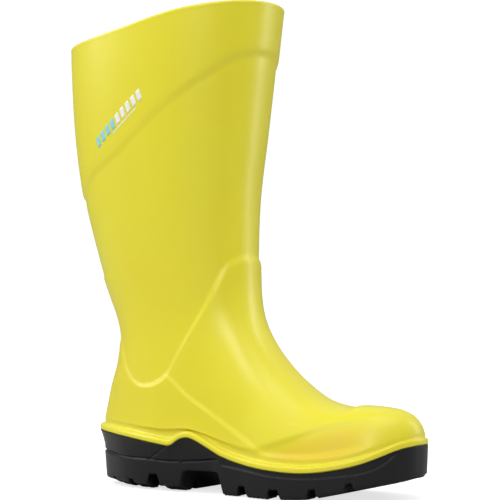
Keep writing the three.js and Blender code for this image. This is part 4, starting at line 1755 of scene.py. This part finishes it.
@dataclass
class Studio:
    """Camera, pale floor and soft light. Lengths are metres, angles are degrees."""

    azimuth: float = 33.0
    distance: float = 1.300
    height: float = 0.148
    lens: float = 118.9
    tilt: float = 1.769
    yaw: float = 0.153
    dim: float = 0.22
    zenith: float = 0.75
    backdrop: float = 1.05
    floor_glow: float = 0.72
    floor_half: float = 6.0
    floor_drop: float = 0.0004
    lamps: Sequence[Lamp] = (
        Lamp("front", (0.45, -1.45, 1.1), (0.5, 1.0), 9.6, (0, 0, 0.27), WARM),
        Lamp("side", (1.1, 1.1, 0.7), (0.2, 1.4), 8.0, (0, 0, 0.15), COOL),
        Lamp("top", (0.4, -0.3, 1.6), (0.9, 0.9), 5.2, (0.03, 0, 0.1), COOL),
        Lamp("left", (-1.1, -0.7, 1.0), (0.7, 1.2), 10.5, (0, 0, 0.22), COOL),
    )

    def camera(self, shift: Array) -> None:
        """Stands the camera in front of the toe, to the outer side, at about knee height.

        Args:
            shift: where the boot's own origin lies, in millimetres.
        """
        a = math.radians(self.azimuth)
        data = bpy.data.cameras.new("camera")
        data.lens, data.sensor_width = self.lens, 36.0
        data.clip_start, data.clip_end = 0.05, 50.0
        made = bpy.data.objects.new("camera", data)
        away = Vector((math.sin(a), -math.cos(a), 0)) * self.distance
        made.location = away + Vector((shift[0] * 0.001, shift[1] * 0.001, self.height))
        made.rotation_euler = (math.radians(90 + self.tilt), 0, a + math.radians(self.yaw))
        bpy.context.scene.collection.objects.link(made)
        bpy.context.scene.camera = made

    def floor(self) -> None:
        """A wide pale plate under the boot, with a faint mottle."""
        far, low = self.floor_half, -self.floor_drop
        corners = [(-far, -far, low), (far, -far, low), (far, far, low), (-far, far, low)]
        mesh = bpy.data.meshes.new("floor")
        mesh.from_pydata(corners, [], [(0, 1, 2, 3)])
        made = bpy.data.objects.new("floor", mesh)
        paint, kit, shader, place = start_material("floor_paint")
        mottle = kit.noise(place, 3.0, 2.0, 0.5)
        base = kit.mix(mottle, colour(0.52, 0.52, 0.52), colour(0.55, 0.55, 0.545))
        kit.tree.links.new(base, shader.inputs["Base Color"])
        shader.inputs["Roughness"].default_value = 0.9
        shader.inputs["Specular IOR Level"].default_value = 0.0
        shader.inputs["Emission Color"].default_value = colour(1, 1, 1)
        seen = kit.add("ShaderNodeLightPath").outputs["Is Camera Ray"]
        glow = kit.math("MULTIPLY", seen, self.floor_glow)
        kit.tree.links.new(glow, shader.inputs["Emission Strength"])
        mesh.materials.append(paint)
        bpy.context.scene.collection.objects.link(made)

    def world(self) -> None:
        """A surround that looks white and lights the boot as a dome, brightest overhead."""
        world = bpy.data.worlds.new("surround")
        bpy.context.scene.world = world
        world.use_nodes = True
        kit = Nodes(world.node_tree)
        back = world.node_tree.nodes["Background"]
        way = kit.add("ShaderNodeTexCoord").outputs["Generated"]
        up = kit.add("ShaderNodeSeparateXYZ", {0: way}).outputs[2]
        dome = kit.ramp(up, -0.1, 0.9, self.dim, self.zenith)
        seen = kit.add("ShaderNodeLightPath").outputs["Is Camera Ray"]
        back.inputs["Color"].default_value = colour(1, 1, 1)
        strength = kit.math("MAXIMUM", dome, kit.math("MULTIPLY", seen, self.backdrop))
        kit.tree.links.new(strength, back.inputs["Strength"])

    def build(self, shift: Array) -> None:
        """Sets up everything that isn't the boot.

        Args:
            shift: where the boot's own origin lies, in millimetres.
        """
        self.camera(shift)
        self.world()
        self.floor()
        for lamp in self.lamps:
            lamp.build()
        bpy.context.scene.view_settings.view_transform = "Standard"


# ---------------------------------------------------------------- assembly

# Painted shade: YELLOW's darker orange goes under the side crease, low on the heel and ankle and in the
# wall-lip corner; BLACK's darker black goes in the heel groove and the tread's sunk parts.
YELLOW = MouldedFinish(
    name="yellow_moulding", main=(0.77, 0.70, 0.026), deep=(0.75, 0.645, 0.016),
    rubbed=(0.86, 0.80, 0.25), painted_shade=(0.72, 0.50, 0.007), gloss_low=0.34, gloss_high=0.43,
    pits=900.0, depth=0.6, bump=0.16, scuffs=0.25, coat=0.2, specular=0.5,
)
BLACK = MouldedFinish(
    name="black_moulding", main=(0.0065, 0.0063, 0.0082), deep=(0.010, 0.0096, 0.0118),
    rubbed=(0.03, 0.029, 0.030), painted_shade=(0.005, 0.0048, 0.0056), gloss_low=0.32, gloss_high=0.46,
    pits=1300.0, depth=1.0, bump=0.35, scuffs=0.35, coat=0.0, specular=0.26,
)
KNIT = ClothFinish(
    name="grey_knit", thread=(0.36, 0.365, 0.365), gap=(0.14, 0.143, 0.145), pitch=1.7, bump=0.7
)
FACE = ClothFinish(
    name="footbed_cloth", thread=(0.10, 0.105, 0.11), gap=(0.03, 0.032, 0.034), pitch=1.2, bump=0.6
)
FOAM = SheetFinish(
    name="footbed_foam", light=(0.07, 0.072, 0.076), dark=(0.03, 0.031, 0.033), metal=0.0,
    rough_low=0.85, rough_high=0.97, grain=(1500, 1500, 1500), bump=0.9,
)
CAP_STEEL = SheetFinish(
    name="coated_steel", light=(0.23, 0.24, 0.25), dark=(0.12, 0.125, 0.13), metal=0.85,
    rough_low=0.35, rough_high=0.55, grain=(300, 300, 900), bump=0.3,
)
PLATE_STEEL = SheetFinish(
    name="spring_steel", light=(0.55, 0.56, 0.57), dark=(0.40, 0.41, 0.42), metal=1.0,
    rough_low=0.25, rough_high=0.42, grain=(60, 2200, 900), bump=0.2,
)
BOARD = SheetFinish(
    name="fibre_board", light=(0.58, 0.48, 0.30), dark=(0.42, 0.33, 0.18), metal=0.0,
    rough_low=0.8, rough_high=0.95, grain=(500, 700, 400), bump=0.7,
)
STRIP = SheetFinish(
    name="strip_rubber", light=(0.04, 0.04, 0.042), dark=(0.02, 0.02, 0.021), metal=0.0,
    rough_low=0.7, rough_high=0.85, grain=(900, 900, 900), bump=0.5,
)
BLUE_INK = SheetFinish(
    name="blue_ink", light=(0.30, 0.66, 0.70), dark=(0.24, 0.58, 0.63), metal=0.0,
    rough_low=0.4, rough_high=0.55, grain=(600, 600, 600), bump=0.15,
)
WHITE_INK = SheetFinish(
    name="white_ink", light=(0.86, 0.87, 0.80), dark=(0.78, 0.79, 0.68), metal=0.0,
    rough_low=0.4, rough_high=0.55, grain=(600, 600, 600), bump=0.15,
)
NODE_FINISHES = {
    "toe_cap": CAP_STEEL,
    "toe_cap_edge_strip": STRIP,
    "penetration_plate": PLATE_STEEL,
    "insole_board": BOARD,
}


def declare(piece: Piece, body: Body, slot: str, *nodes: str) -> None:
    """Tells the frame what a piece rides on, by hanging it under that body's empty, and hides the nodes
    it stands for, if any.

    Args:
        piece: the piece.
        body: the rigid body it moves with.
        slot: not used.
        nodes: the frame nodes that it replaces, if any.
    """
    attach(piece, body.value)
    if nodes:
        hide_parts(*nodes)
    LOG.info("%s: %d faces on %s", piece.name, len(piece.data.polygons), body.value)


def dress(node: str, finish: Material) -> None:
    """Gives a frame node its material.

    Args:
        node: the node's name.
        finish: the material.
    """
    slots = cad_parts[node].data.materials
    slots.clear()
    slots.append(finish)
    LOG.info("%s: dressed as %s", node, finish.name)


def placed(net: Net) -> Placement:
    """Where the boot goes: its form's least x and y meet those of the frame's upper shell, and its
    ground is the frame's.

    Args:
        net: the boot's net.

    Returns:
        The placement.
    """
    corner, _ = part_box("upper_shell")
    low = net.fine(UpperShell.around, net.rings).min((0, 1))
    return Placement(np.array((corner.x * 1000 - low[0], corner.y * 1000 - low[1], 0.0)))


def main() -> None:
    """Builds the boot piece by piece, then the studio."""
    logging.basicConfig(level=logging.INFO, format="%(message)s")
    effects, relief, shell = Effects(), Relief(), UpperShell()
    net = Net(BootForm())
    place = placed(net)
    LOG.info("boot's origin at %s mm", place.shift.round(2))
    yellow = YELLOW.build(effects)
    upper = shell.build(net, relief, place, yellow)
    declare(upper, Body.BOOT, "upper", "upper_shell")
    declare(shell.pip(net, place, yellow), Body.BOOT, "upper")
    sole = Outsole().build(net, place, BLACK.build(effects))
    declare(sole, Body.BOOT, "sole", "outsole")
    lining = Lining().build(net, place, KNIT.build(effects))
    declare(lining, Body.BOOT, "lining", "lining")
    foam, face = Footbed().build(net, place, FOAM.build(), FACE.build(effects))
    declare(foam, Body.FOOTBED, "foam", "footbed_foam")
    declare(face, Body.FOOTBED, "cover", "footbed_cover")
    for bars in BarMark().build(net, relief, place, BLUE_INK.build(), WHITE_INK.build()):
        declare(bars, Body.BOOT, "upper")
    for node, finish in NODE_FINISHES.items():
        dress(node, finish.build())
    Studio().build(place.shift)
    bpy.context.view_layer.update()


if __name__ == "__main__":
    main()
